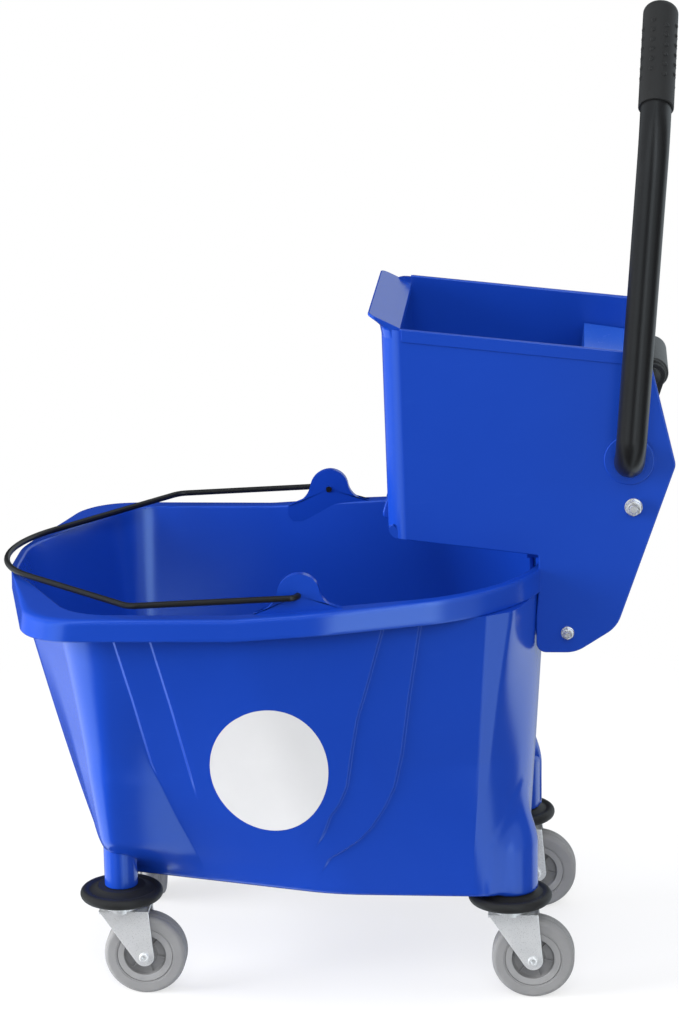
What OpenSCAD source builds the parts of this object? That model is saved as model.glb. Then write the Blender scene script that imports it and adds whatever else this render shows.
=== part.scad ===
// Mop bucket on four casters with a side press wringer hooked over its rear end.
// X runs from the pouring end to the wringer end, Y from the handle side to the far side, Z up.
// Sizes are laid out from the middle of the four caster stems, then moved by at_mid(),
// so that the origin lies on the floor under the middle of the whole.

/* [Casters] */
// Half the distance between front and rear stems
stem_half_l = 180; // [170:1:195]
// Half the distance between left and right stems
half_track = 112; // [104:1:120]
// Diameter of the wheel over its tread
wheel_d = 76.2; // [70:0.1:82]
// Width of the tread
tread_w = 24; // [20:0.5:28]
// Diameter of the hub inside the tread
core_d = 52; // [46:1:56]
// Distance from the stem's axis back to the axle
wheel_trail = 21; // [18:0.5:25]
// Diameter of the axle bolt
axle_d = 6.5; // [6:0.5:10]
// Sheet thickness of the fork
fork_t = 2.5; // [2:0.1:3.5]
// Diameter of the stem in the leg
stem_d = 11; // [9:0.5:14]
// Length of the stem in the leg
stem_len = 45; // [35:1:50]
// Diameter of the upper race
race_d = 44; // [40:1:48]
// Diameter of the bumper disc
disc_d = 77; // [68:1:86]
// Thickness of the bumper disc
disc_h = 13; // [11:0.5:18]

/* [Bucket] */
// Height of the bucket from its underside to the rim at the pouring end
bucket_h = 281; // [260:1:300]
// Rise of the rim from its waist to the wringer end
rim_rise = 20; // [12:1:26]
// Height of the underside above the foot of the legs
base_lift = 2; // [1.5:0.5:6]
// Wall thickness
wall_t = 5; // [4:0.25:6]
// Floor thickness
floor_t = 6; // [5:0.5:9]
// Reach of the wall from the stems' middle to the pouring tip, at the rim
tip_reach = 283; // [275:1:290]
// Half width of the pouring tip at the rim
tip_half_w = 45; // [35:1:55]
// Reach of the wall to its front corners, at the rim
front_reach = 205; // [195:1:215]
// Half width of the wall at the rim, from the front corners to the waist
rim_half_w = 190; // [184:1:200]
// Half width that the rim's sides run out to at the wringer end
end_half_w = 171; // [164:1:178]
// Distance of the end wall behind the rear stems, at the rim
end_back = 34.5; // [30:0.5:40]
// Width of the rim flange outside the wall
rim_over = 17; // [13:0.5:20]
// Depth of the skirt under the flange
skirt_h = 20; // [15:1:26]
// Diameter of the front legs
front_leg_d = 31; // [28:1:36]
// Diameter of the rear legs
rear_leg_d = 49; // [44:1:54]

/* [Bail] */
// Diameter of the wire
bail_d = 5.6; // [4.6:0.2:7]
// Reach of the bail from its ears to its middle
bail_reach = 289; // [284:1:296]
// Reach of its straight arms
arm_reach = 150; // [140:1:160]
// Height of the ears above the rim
ear_h = 34; // [30:1:42]
// Radius of the ears' round top
ear_top_r = 19; // [16:0.5:24]
// Slope of the bail as it lies on the rim, in degrees
bail_slope = 3; // [2.5:0.1:3.6]

/* [Wringer] */
// Half width over the side plates
hopper_half_w = 104; // [98:1:108]
// Thickness of the side plates
side_t = 4; // [3.5:0.25:5]
// Distance of the hopper's front face from the bucket's end wall
hopper_reach = 146.5; // [135:0.5:155]
// Height of the hopper's front edge above its seat on the end wall
hopper_top = 221; // [206:1:236]
// Height of the hopper's front bottom corner above the seat
hopper_low = 28; // [24:1:36]
// Distance of the side plates' rear tip from the end wall
plate_reach = 115; // [108:1:122]
// Depth of the side plates below the seat
hook_drop = 80; // [74:1:90]
// Height of the far side plate's rim above the near one's
far_rise = 8; // [4:0.5:12]
// Width of the flared front lip
lip_l = 29; // [22:1:34]
// Rise of the flared front lip
lip_rise = 15; // [10:1:18]

/* [Press] */
// Distance of the handle's pivot behind the end wall
pivot_x = 73.5; // [71:0.5:76]
// Height of the handle's pivot above the seat
pivot_z = 99.5; // [97:0.5:103]
// Distance of the plate's hinge behind the end wall
hinge_x = 14; // [13:0.5:16]
// Height of the plate's hinge above the seat
hinge_z = 23; // [21:0.5:26]
// Diameter of the hinge rod
hinge_d = 8; // [6:0.5:9]
// Length of the press plate above its hinge
press_l = 160; // [150:1:164]
// Half width of the press plate
press_half_w = 96; // [88:0.5:97]
// Lean of the press plate at rest, in degrees
press_lean = 8.3; // [7.5:0.1:9.5]
// Radius from the handle's pivot to the roller
arm_r = 70; // [68:0.5:72]
// Direction of the arms at rest, in degrees from level
arm_rest = 72; // [70:0.5:74]
// Diameter of the roller
roller_d = 28; // [25:0.5:31]
// Diameter of the drive shaft
shaft_d = 16; // [14:0.5:17]

/* [Handle] */
// Diameter of the tube
tube_d = 27; // [25:0.5:29]
// Wall of the tube
tube_t = 2; // [1.5:0.1:3]
// Length of the tube from the pivot's axis to its upper bend
tube_l = 265; // [248:1:282]
// Lean of the tube at rest, in degrees
tube_lean = 4; // [3:0.1:5]
// Turn of the upper bend, in degrees
grip_turn = 44; // [36:1:50]
// Length of the tube above that bend, inside the grip too
grip_arm = 117; // [110:1:128]
// Length of the grip
grip_l = 109; // [96:1:111]
// Diameter of the grip
grip_d = 34; // [32:0.5:37]

/* [Hidden] */
$fn = 48;
// Clearances of turning fits, of faces that slide, and of the wringer on the bucket
run_gap = 0.05;
slide_gap = 0.3;
seat_gap = 0.5;
overrun = 1;
joint_l = 0.3;
joint_t = 0.05;

// Stack of each caster, from the floor up
wheel_r = wheel_d / 2;
wheel_gap = 4;
crown_t = 3;
bearing_h = 3.2;
race_t = 4.5;
crown_z = wheel_d + wheel_gap;
crown_top = crown_z + crown_t;
bearing_z = crown_top + slide_gap;
race_z = bearing_z + bearing_h;
disc_z = race_z + race_t;
leg_z = disc_z + disc_h;
bearing_in_r = 13;
bearing_out_r = 19;
pin_r = 5;
pin_head_r = 8;
pin_head_t = 1.9;
side_gap = 2;
hub_gap = 1;
fork_in = tread_w / 2 + side_gap;
fork_out = fork_in + fork_t;
crown_r = 17.5;
fork_front = 20;
fork_back = 26;
fork_foot_r = 9;
axle_r = axle_d / 2;
bolt_head_r = axle_d * 0.75;
bolt_head_t = 2.5;
nut_r = axle_d * 0.94;
nut_t = 5;
hub_rim_t = 5;
hub_boss_r = 10;
web_t = 8;
tread_round = 5;
disc_round = 5.5;
disc_dish = 3;
disc_land_r = 27;
stem_r = stem_d / 2;
// Direction that each caster trails in at rest, in degrees
rest_turns = [0, 105, 0, 0];

// Bucket wall at its underside, tied to the stems
base_z = leg_z + base_lift;
rim_z = base_z + bucket_h;
floor_z = base_z + floor_t;
skirt_z = rim_z - skirt_h;
base_tip_out = 29;
base_tip_half_w = 20;
base_front_out = 6;
base_front_in = 28;
base_waist_x = 20;
base_waist_out = 31;
base_end_out = 15;
base_rear_out = 34;
waist_x = -60;
bow_power = 0.88;
flange_waist_x = 20;
flange_taper = 5;
flange_end = 0.7;
flange_tip = 2;
flange_tip_half_w = 30;
flange_corner = 45;
end_x = stem_half_l + end_back;
seat_z = rim_z + rim_rise;
base_round = 5;
floor_round = 14;
rim_round = 6;
lip_round = 2;
rim_tip_r = 100;
rim_front_r = 60;
rim_waist_r = 200;
rim_rear_r = 125;
base_tip_r = 40;
base_front_r = 34;
base_waist_r = 200;
base_rear_r = 45;
flange_tip_r = 100;
flange_front_r = 50;
arc_steps = 6;
wall_steps = 7;
leg_h = 61;
leg_taper_h = 40;
leg_top_r = 4;

// Bail and its ears
ear_x = -3;
ear_t = 7;
ear_in = 2;
ear_foot = 14;
ear_fillet_r = 22;
ear_steps = 8;
bail_r = bail_d / 2;
bail_rest = 0.5;
bail_gap = 1.5;
bail_side_gap = 2.7;
bail_turn = 47;
bail_bend_r = 18;
hook_bend_r = 7;
bail_z = rim_z + bail_reach * sin(bail_slope) + bail_r + bail_rest;

// Wringer, laid out from the outer top edge of the bucket's end wall
lift_z = seat_z + seat_gap;
hopper_tilt = 6;
front_lean = 1.14;
floor_fall = 6.9;
hopper_in = hopper_half_w - side_t;
hopper_mid = hopper_half_w - side_t / 2;
corner_r = 17;
shell_h = 340;
shell_back = 150;
bend_in = 17.5;
lip_t = 4;
fill_l = 14;
foot_h = 36;
foot_land = 18;
foot_out = 5;
seat_front = 18.5;
hook_front = 16.5;
hook_t = 4;
hook_half_w = 66;
hook_in_drop = 55;
hook_out_drop = 72;
hook_gap = 1.5;
band_h = 11;
band_t = 1.6;
band_back = 75;
boss_r = 26;
boss_t = 1.6;
slot_w = 8;
slot_l = 84;
slot_pitch = 30;
slot_count = 5;
slot_start = 22;
tip_drop = 5;
tip_back = 24.5;
plate_low_x = 63;
plate_low_z = -56;
plate_heel_x = 26;
heel_r = 9;
tip_r = 12;
low_r = 30;
top_r = 8;
small_r = 2;
front_r = 4;
foot_r = 20;
bush_t = 4;
bush_flange_r = 15;
bush_flange_t = 1.5;
rod_seat = 3;

// Tie rods
upper_rod_back = 4;
upper_rod_drop = 43;
lower_rod_x = 18.5;
lower_rod_drop = 61;
upper_rod_d = 8;
lower_rod_d = 6;
washer_t = 1.5;
washer_r_share = 1;
nut_r_share = 0.94;
nut_h_share = 0.8;
thread_end = 2;

// Press linkage
press_ratio = 0.525;
handle_swing = 80;
swing_step = 2;
roller_r = roller_d / 2;
arm_in = 51;
arm_t = 8;
arm_end_r = 11;
arm_hub_r = 14;
roller_pin_r = 5;
roller_end_gap = 2;
pin_cap_r = 7.5;
pin_cap_t = 2;
panel_front = 4;
panel_t = 5;
panel_foot = 8;
knuckle_r = 9;
top_t = 5;
side_rib_t = 3;
side_rib_d = 18;
rib_t = 5;
rib_inner_y = 15;
rib_outer_y = 42;
rib_low_d = 26;
rib_foot = 20;
rib_low_l = 74;
rib_step_l = 21;
clip_t = 1.5;
clip_r = 12;
shaft_end = 4;

// Handle
tube_r = tube_d / 2;
grip_r = grip_d / 2;
elbow_r = 27;
elbow_gap = 1.3;
stub_l = 2;
shaft_r = shaft_d / 2;
shaft_grip = 22;
grip_bend_r = 60;
grip_cap_t = 4;
grip_round = 6;
grip_steps = 5;
tube_run = tube_l - elbow_r;

CORNERS = ["front_left", "front_right", "rear_left", "rear_right"];
STEMS = [for (x = [-stem_half_l, stem_half_l]) for (y = [-half_track, half_track]) [x, y]];
CASTER_PARTS = ["bumper_disc", "caster_stem", "swivel_bearing", "caster_fork",
    "axle_bolt", "axle_nut", "wheel_hub", "wheel_tyre"];

blue = "#1c41b0";
black = "#1c1c1e";
zinc = "#c9ccd0";
tread_grey = "#8f9194";
hub_grey = "#5a5c60";
bronze = "#8a6a3a";

// Plane geometry
function lerp(a, b, share) = a + (b - a) * share;
function clamp(v) = max(0, min(1, v));
function unit(v) = v / norm(v);
function wrapped(a) = a > 180 ? a - 360 : a < -180 ? a + 360 : a;
// Arc that rounds the corner c between p and q
function fillet(p, c, q, r, steps) =
    let (
        u = unit(p - c),
        v = unit(q - c),
        half = acos(u * v) / 2,
        centre = c + unit(u + v) * r / sin(half),
        start = c + u * r / tan(half) - centre,
        stop = c + v * r / tan(half) - centre,
        from = atan2(start.y, start.x),
        sweep = wrapped(atan2(stop.y, stop.x) - from)
    )
    [for (i = [0:steps]) centre + r * [cos(from + sweep * i / steps), sin(from + sweep * i / steps)]];
// Closed outline with rounded corners
function outline(corners, radii, steps) =
    let (n = len(corners))
    [for (i = [0:n - 1])
        each fillet(corners[(i + n - 1) % n], corners[i], corners[(i + 1) % n], radii[i], steps)];
function side_normal(a, b) = let (t = unit(b - a)) [t.y, -t.x];
// Corners moved so that every side lies g further out
function grown(corners, g) =
    let (n = len(corners))
    [for (i = [0:n - 1])
        let (
            before = side_normal(corners[(i + n - 1) % n], corners[i]),
            after = side_normal(corners[i], corners[(i + 1) % n])
        )
        corners[i] + g * (before + after) / (1 + before * after)];
// Near side corners, then the same on the far side
function both_sides(near) =
    let (n = len(near))
    concat(near, [for (i = [n - 1:-1:0]) [near[i].x, -near[i].y]]);
function both_radii(near) =
    let (n = len(near))
    concat(near, [for (i = [n - 1:-1:0]) near[i]]);
// Point where a line from p touches a circle, on the side given
function touch(p, centre, r, side) =
    let (
        v = p - centre,
        a = atan2(v.y, v.x) + side * acos(r / norm(v))
    )
    centre + r * [cos(a), sin(a)];

// Bucket wall at a share of its height
function wall_corners(share) =
    let (bow = pow(share, bow_power))
    both_sides([
        [lerp(-stem_half_l - base_tip_out, -tip_reach, bow), -lerp(base_tip_half_w, tip_half_w, bow)],
        [lerp(-stem_half_l - base_front_out, -front_reach, bow),
            -lerp(half_track - base_front_in, rim_half_w, bow)],
        [lerp(base_waist_x, waist_x, share), -lerp(half_track + base_waist_out, rim_half_w, share)],
        [lerp(stem_half_l + base_end_out, end_x, share), -lerp(half_track + base_rear_out, end_half_w, share)]
    ]);
function wall_radii(share, g) =
    both_radii([
        lerp(base_tip_r, rim_tip_r, share) + g,
        lerp(base_front_r, rim_front_r, share) + g,
        lerp(base_waist_r, rim_waist_r, share) + g,
        lerp(base_rear_r, rim_rear_r, share) + g
    ]);
// Outer edge of the rim flange, wide at the front corners and gone at the end wall
flange_corners = both_sides([
    [-tip_reach - flange_tip, -flange_tip_half_w],
    [-front_reach - flange_corner, -rim_half_w - rim_over],
    [flange_waist_x, -rim_half_w - rim_over + flange_taper],
    [end_x + flange_end, -end_half_w - flange_end]
]);
flange_radii = both_radii([flange_tip_r, flange_front_r, rim_waist_r, rim_rear_r]);
flange_points = outline(flange_corners, flange_radii, arc_steps);
lift_foot = floor_z + floor_round;
function rim_lift(x) = rim_rise * clamp((x - waist_x) / (end_x - waist_x));
function lift_at(x, z) = rim_lift(x) * clamp((z - lift_foot) / (rim_z - lift_foot));
function wall_points(share, g) = outline(grown(wall_corners(share), g), wall_radii(share, g), arc_steps);
// Ring of points round the bucket at height z: g below nought lies inside the wall, above in the flange
function ring(z, g) =
    let (
        points = wall_points((z - base_z) / bucket_h, min(g, 0)),
        out = clamp(g / rim_over)
    )
    [for (i = [0:len(points) - 1])
        let (p = lerp(points[i], flange_points[i], out)) [p.x, p.y, z + lift_at(p.x, z)]];
// Section of the shell, up the outside, over the rim and down the inside, as height and growth
shell_section = concat(
    [for (a = [0:30:90]) [base_z + base_round * (1 - cos(a)), -base_round * (1 - sin(a))]],
    [for (i = [1:wall_steps]) [lerp(base_z + base_round, skirt_z, i / wall_steps), 0]],
    [[skirt_z, rim_over]],
    [for (a = [0:30:90]) [rim_z - rim_round * (1 - sin(a)), rim_over - rim_round * (1 - cos(a))]],
    [for (a = [0:45:90]) [rim_z - lip_round * (1 - cos(a)), -wall_t + lip_round * (1 - sin(a))]],
    [for (i = [1:wall_steps]) [lerp(rim_z - lip_round, floor_z + floor_round, i / wall_steps), -wall_t]],
    [for (a = [30:30:90]) [floor_z + floor_round * (1 - sin(a)), -wall_t - floor_round * (1 - cos(a))]]);
// Closed skin through rings of equal count
module skin(rings) {
    n = len(rings[0]);
    last = len(rings) - 1;
    sides = [for (i = [0:last - 1]) for (j = [0:n - 1])
        let (a = i * n + j, b = i * n + (j + 1) % n)
        each [[a, a + n, b + n], [a, b + n, b]]];
    caps = [[for (j = [0:n - 1]) j], [for (j = [n - 1:-1:0]) last * n + j]];
    polyhedron([for (r = rings) each r], concat(sides, caps), convexity = 8);
}

// Inside of the bucket to the middle of its wall, from the top of the stem sockets up
cavity_section = [for (z = [leg_z + stem_len + floor_t, leg_z + leg_h, leg_z + leg_h + leg_taper_h + overrun])
    [z, -wall_t / 2]];
function flat_ring(z, g) = [for (p = wall_points((z - base_z) / bucket_h, g)) [p.x, p.y, z]];

// Where the rim's rear corner passes the outer face of a side plate
rear_rim = flange_points;
edge_hits = [for (i = [0:len(rear_rim) - 1])
    let (p = rear_rim[i], q = rear_rim[(i + 1) % len(rear_rim)])
    if (p.x > 0 && (p.y - hopper_in) * (q.y - hopper_in) <= 0)
        lerp(p.x, q.x, (hopper_in - p.y) / (q.y - p.y))];
hook_edge = edge_hits[0] - end_x + seat_gap;

// Outline of a side plate
function hopper_line(x) = hopper_top - (x + hopper_reach) * tan(hopper_tilt);
function floor_line(x) = hopper_low - (x + hopper_reach) * tan(floor_fall);
function front_line(z) = -hopper_reach + (hopper_top - z) * tan(front_lean);
plate_points = outline([
    [front_line(hopper_top), hopper_top],
    [front_line(hopper_low), hopper_low],
    [hook_edge, floor_line(hook_edge)],
    [hook_edge, -hook_drop],
    [plate_heel_x, -hook_drop],
    [plate_low_x, plate_low_z],
    [plate_reach, pivot_z - tip_drop],
    [plate_reach - tip_back, hopper_line(plate_reach - tip_back)]
], [front_r, foot_r, small_r, heel_r, low_r, low_r, tip_r, top_r], arc_steps);

// Middle of the whole, from the bail or the rim to the side plates' tip
left_x = min(-tip_reach - flange_tip, ear_x - bail_reach * cos(bail_slope) - bail_r);
right_x = end_x + max([for (p = plate_points) p.x]);
mid_x = (left_x + right_x) / 2;

// Roller centre at a handle angle, and its distance behind the plate's hinge line
function roller_at(swing) = [pivot_x, pivot_z] + arm_r * [cos(arm_rest + swing), sin(arm_rest + swing)];
function roller_depth(swing) =
    let (
        lean = press_lean - press_ratio * swing,
        p = roller_at(swing) - [hinge_x, hinge_z]
    )
    p.x * cos(lean) - p.y * sin(lean);
press_depth = min([for (a = [0:swing_step:handle_swing]) roller_depth(a)]) - roller_r - slide_gap;
pivot = [pivot_x, pivot_z];
hinge = [hinge_x, hinge_z];
upper_rod = [pivot_x + upper_rod_back, pivot_z - upper_rod_drop];
lower_rod = [lower_rod_x, -lower_rod_drop];
boss_y = hopper_half_w + boss_t;
tube_y = boss_y + elbow_gap;

module at_mid() { translate([-mid_x, 0, 0]) children(); }
module at_stem(i) {
    at_mid() translate([STEMS[i].x, STEMS[i].y, 0]) rotate([0, 0, rest_turns[i]]) children();
}
module at_axle(i) { at_stem(i) translate([wheel_trail, 0, wheel_r]) rotate([90, 0, 0]) children(); }
module at_wringer() { at_mid() translate([end_x, 0, lift_z]) children(); }
// Plane outline in X and Z made into a plate from y0 to y1
module upright(y0, y1) { translate([0, y1, 0]) rotate([90, 0, 0]) linear_extrude(y1 - y0) children(); }
// Round bar across X and Z at p, from y0 to y1
module crossbar(p, r, y0, y1) { translate([p.x, y1, p.y]) rotate([90, 0, 0]) cylinder(h = y1 - y0, r = r); }
// Round bar along X that bends towards Y: each step is a run, a bend radius and a turn
module bent_bar(steps, r, i = 0) {
    run = steps[i][0];
    bend_r = steps[i][1];
    turn = steps[i][2];
    rotate([0, 90, 0]) cylinder(h = run, r = r);
    if (turn > 0) {
        translate([run, 0, 0]) bar_joint(r);
        translate([run, bend_r, 0])
            rotate([0, 0, -90]) rotate_extrude(angle = turn) translate([bend_r, 0]) circle(r);
        translate([run + bend_r * sin(turn), bend_r * (1 - cos(turn)), 0]) rotate([0, 0, turn]) {
            bar_joint(r);
            if (i + 1 < len(steps)) bent_bar(steps, r, i + 1);
        }
    }
}
// Ring that holds two runs of a bar together where they meet
module bar_joint(r) { rotate([0, 90, 0]) cylinder(h = 2 * joint_l, r = r + joint_t, center = true); }

// Bucket
module leg(i, d) {
    translate([STEMS[i].x, STEMS[i].y, leg_z]) cylinder(h = leg_h, d = d);
    translate([STEMS[i].x, STEMS[i].y, leg_z + leg_h])
        cylinder(h = leg_taper_h, r1 = d / 2, r2 = leg_top_r);
}
rim_side_at_ear = lerp(rim_half_w, end_half_w, clamp((ear_x - waist_x) / (end_x - waist_x)));
ear_y = rim_side_at_ear - ear_in;
// Half of an ear's outline above the rim, from its foot up over the fillet to the round top
ear_centre_h = ear_h - ear_top_r;
ear_half_l = sqrt(pow(ear_top_r + ear_fillet_r, 2) - pow(ear_centre_h - ear_fillet_r, 2));
ear_turn = atan2(ear_centre_h - ear_fillet_r, ear_half_l);
ear_side = concat(
    [for (i = [0:ear_steps])
        let (a = lerp(-90, -180 - ear_turn, i / ear_steps))
        [ear_half_l + ear_fillet_r * cos(a), ear_fillet_r * (1 + sin(a))]],
    [for (i = [1:ear_steps])
        let (a = lerp(-ear_turn, 90, i / ear_steps))
        [ear_top_r * cos(a), ear_centre_h + ear_top_r * sin(a)]]);
module ear(side) {
    last = len(ear_side) - 1;
    half = [for (p = ear_side) [ear_x + p.x, rim_z + rim_lift(ear_x + p.x) + p.y]];
    other = [for (i = [last - 1:-1:0])
        let (p = ear_side[i]) [ear_x - p.x, rim_z + rim_lift(ear_x - p.x) + p.y]];
    foot = [[ear_x - ear_half_l, rim_z - ear_foot], [ear_x + ear_half_l, rim_z - ear_foot]];
    upright(side * ear_y - ear_t / 2, side * ear_y + ear_t / 2) polygon(concat(half, other, foot));
}
module bucket() {
    color(blue) at_mid()
        difference() {
            union() {
                skin([for (p = shell_section) ring(p[0], p[1])]);
                difference() {
                    union() {
                        for (i = [0:1]) leg(i, front_leg_d);
                        for (i = [2:3]) leg(i, rear_leg_d);
                    }
                    skin([for (p = cavity_section) flat_ring(p[0], p[1])]);
                }
                for (side = [-1, 1]) ear(side);
            }
            for (s = STEMS)
                translate([s.x, s.y, leg_z - overrun]) cylinder(h = stem_len + overrun, r = stem_r + run_gap);
            for (side = [-1, 1])
                translate([0, side * ear_y, 0])
                    crossbar([ear_x, bail_z], bail_r + run_gap, -ear_t / 2 - overrun, ear_t / 2 + overrun);
        }
}

// Bail: each half runs from inside its ear, along the arm and round to the middle
bail_arm_y = ear_y + ear_t / 2 + bail_gap + bail_r + bail_side_gap;
bail_pin_l = bail_arm_y - ear_y + ear_t / 2 + bail_gap;
bow_r = (arm_reach + bail_arm_y / tan(bail_turn) - bail_reach) * sin(bail_turn) / (1 - sin(bail_turn));
bend_tangent = bail_bend_r * tan(bail_turn / 2);
bail_steps = [
    [bail_pin_l - hook_bend_r, hook_bend_r, 90],
    [arm_reach - hook_bend_r - bend_tangent, bail_bend_r, bail_turn],
    [(bail_arm_y - bow_r * cos(bail_turn)) / sin(bail_turn) - bend_tangent, bow_r, 90 - bail_turn]
];
module bail_handle() {
    color(black) at_mid() translate([ear_x, 0, bail_z]) rotate([0, -bail_slope, 0])
        for (side = [0, 1]) mirror([0, side, 0])
            translate([0, bail_pin_l - bail_arm_y, 0]) rotate([0, 0, -90]) mirror([0, 1, 0])
                bent_bar(bail_steps, bail_r);
}

// Casters
module bumper_disc(i) {
    r = disc_d / 2;
    edge = [for (a = [-90:15:90]) [r - disc_round + disc_round * cos(a), disc_round * (1 + sin(a))]];
    land = [[disc_land_r + disc_dish, disc_h - disc_dish], [disc_land_r, disc_h], [stem_r, disc_h]];
    color(black) at_stem(i) translate([0, 0, disc_z])
        rotate_extrude() polygon(concat([[stem_r, 0]], edge, land));
}
module caster_stem(i) {
    pin_z = crown_z - slide_gap;
    color(zinc) at_stem(i) {
        translate([0, 0, disc_z - race_t]) cylinder(h = race_t, d = race_d);
        translate([0, 0, disc_z]) cylinder(h = disc_h + stem_len, r = stem_r);
        translate([0, 0, pin_z]) cylinder(h = race_z - pin_z, r = pin_r);
        translate([0, 0, pin_z - pin_head_t]) cylinder(h = pin_head_t, r = pin_head_r);
    }
}
module swivel_bearing(i) {
    color(zinc) at_stem(i) translate([0, 0, bearing_z])
        difference() {
            cylinder(h = bearing_h, r = bearing_out_r);
            translate([0, 0, -overrun]) cylinder(h = bearing_h + 2 * overrun, r = bearing_in_r);
        }
}
module caster_fork(i) {
    foot = [wheel_trail, wheel_r];
    front = [-fork_front, crown_top];
    back = [fork_back, crown_top];
    color(zinc) at_stem(i)
        difference() {
            union() {
                translate([0, 0, crown_z]) cylinder(h = crown_t, r = crown_r);
                translate([-fork_front, -fork_out, crown_z])
                    cube([fork_front + fork_back, 2 * fork_out, crown_t]);
                for (side = [-1, 1]) translate([0, side * (fork_in + fork_out) / 2, 0]) {
                    upright(-fork_t / 2, fork_t / 2)
                        polygon([front, touch(front, foot, fork_foot_r, 1), foot,
                            touch(back, foot, fork_foot_r, -1), back]);
                    crossbar(foot, fork_foot_r, -fork_t / 2, fork_t / 2);
                }
            }
            translate([0, 0, crown_z - overrun]) cylinder(h = crown_t + 2 * overrun, r = pin_r + run_gap);
            crossbar(foot, axle_r, -fork_out - overrun, fork_out + overrun);
        }
}
module axle_bolt(i) {
    color(zinc) at_axle(i) {
        translate([0, 0, -fork_out - nut_t - thread_end])
            cylinder(h = 2 * fork_out + nut_t + thread_end, r = axle_r);
        translate([0, 0, fork_out]) cylinder(h = bolt_head_t, r = bolt_head_r);
    }
}
module axle_nut(i) {
    color(zinc) at_axle(i) translate([0, 0, -fork_out - nut_t])
        difference() {
            cylinder(h = nut_t, r = nut_r, $fn = 6);
            translate([0, 0, -overrun]) cylinder(h = nut_t + 2 * overrun, r = axle_r);
        }
}
module wheel_hub(i) {
    core_r = core_d / 2;
    hub_half = fork_in - hub_gap;
    color(hub_grey) at_axle(i)
        difference() {
            union() {
                difference() {
                    cylinder(h = tread_w, r = core_r, center = true);
                    cylinder(h = tread_w + overrun, r = core_r - hub_rim_t, center = true);
                }
                cylinder(h = web_t, r = core_r - hub_rim_t / 2, center = true);
                cylinder(h = 2 * hub_half, r = hub_boss_r, center = true);
            }
            cylinder(h = 2 * hub_half + overrun, r = axle_r + run_gap, center = true);
        }
}
module wheel_tyre(i) {
    half = tread_w / 2;
    edge = wheel_r - tread_round;
    shoulder = half - tread_round;
    low = [for (a = [-90:15:0]) [edge + tread_round * cos(a), -shoulder + tread_round * sin(a)]];
    high = [for (a = [0:15:90]) [edge + tread_round * cos(a), shoulder + tread_round * sin(a)]];
    color(tread_grey) at_axle(i)
        rotate_extrude() polygon(concat([[core_d / 2, -half]], low, high, [[core_d / 2, half]]));
}

// Wringer
module hopper_shell() {
    outer = [[-hopper_reach, -hopper_half_w], [shell_back, -hopper_half_w],
        [shell_back, hopper_half_w], [-hopper_reach, hopper_half_w]];
    inner = [[side_t - hopper_reach, -hopper_in], [2 * shell_back, -hopper_in],
        [2 * shell_back, hopper_in], [side_t - hopper_reach, hopper_in]];
    inner_r = corner_r - side_t;
    intersection() {
        upright(-hopper_half_w - overrun, hopper_half_w + overrun) polygon(plate_points);
        translate([-hopper_reach, 0, hopper_top]) rotate([0, -front_lean, 0])
            translate([hopper_reach, 0, -shell_h]) linear_extrude(2 * shell_h) difference() {
                polygon(outline(outer, [corner_r, small_r, small_r, corner_r], arc_steps));
                polygon(outline(inner, [inner_r, small_r, small_r, inner_r], arc_steps));
            }
    }
}
module hopper_floor() {
    front = front_line(hopper_low) + side_t / 2;
    face = front + side_t / 2;
    intersection() {
        upright(-hopper_mid, hopper_mid) polygon(plate_points);
        upright(-hopper_mid - overrun, hopper_mid + overrun) polygon([
            [front, floor_line(front) - side_t],
            [-seat_front + side_t, floor_line(side_t - seat_front) - side_t],
            [-seat_front + side_t, floor_line(side_t - seat_front) + side_t],
            [face + fill_l, floor_line(face + fill_l) + side_t],
            [face, floor_line(face) + side_t + fill_l],
            [front, floor_line(front) + side_t + fill_l]
        ]);
    }
}
module hopper_hook() {
    back = hook_gap + hook_t;
    upright(-hopper_mid, hopper_mid) polygon([
        [-seat_front, 0], [back, 0], [back, floor_line(back) + side_t],
        [-seat_front, floor_line(-seat_front) + side_t]]);
    upright(-hook_half_w, hook_half_w) polygon([
        [-hook_front, -hook_in_drop], [hook_t - hook_front, -hook_in_drop],
        [hook_t - hook_front, side_t], [-hook_front, side_t]]);
    upright(-hopper_mid, hopper_mid) polygon([
        [hook_gap, -hook_out_drop], [back, -hook_out_drop], [back, side_t], [hook_gap, side_t]]);
}
module hopper_lip() {
    bend = [bend_in - hopper_reach, hopper_line(bend_in - hopper_reach) + joint_l];
    edge = bend + [-lip_l, lip_rise];
    upright(-hopper_mid, hopper_mid) polygon([
        bend, edge, edge - [0, lip_t],
        [side_t / 2 - hopper_reach, hopper_top - 2 * lip_t],
        [bend.x, bend.y - 2 * lip_t]]);
}
module hopper_foot() {
    low = front_line(foot_land + hopper_low);
    y = hopper_half_w - corner_r - side_t;
    upright(-y, y) polygon([
        [low + side_t / 2, foot_h + hopper_low],
        [low - foot_out, foot_land + hopper_low],
        [low - foot_out, hopper_low + fill_l],
        [low + side_t / 2, hopper_low + fill_l]
    ]);
}
module hopper_band() {
    front = bend_in - hopper_reach + lip_t;
    for (side = [0, 1]) mirror([0, 1 - side, 0])
        upright(hopper_mid, hopper_half_w + band_t) polygon([
            [front, hopper_line(front) - joint_l + side * far_rise],
            [front, hopper_line(front) - band_h],
            [band_back, hopper_line(band_back) - band_h],
            [band_back, hopper_line(band_back) - joint_l + side * far_rise]]);
}
module hopper_slots() {
    for (i = [0:slot_count - 1])
        translate([slot_start - hopper_reach, (i - (slot_count - 1) / 2) * slot_pitch - slot_w / 2, 0])
            cube([slot_l, slot_w, 2 * hopper_low]);
}
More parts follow.
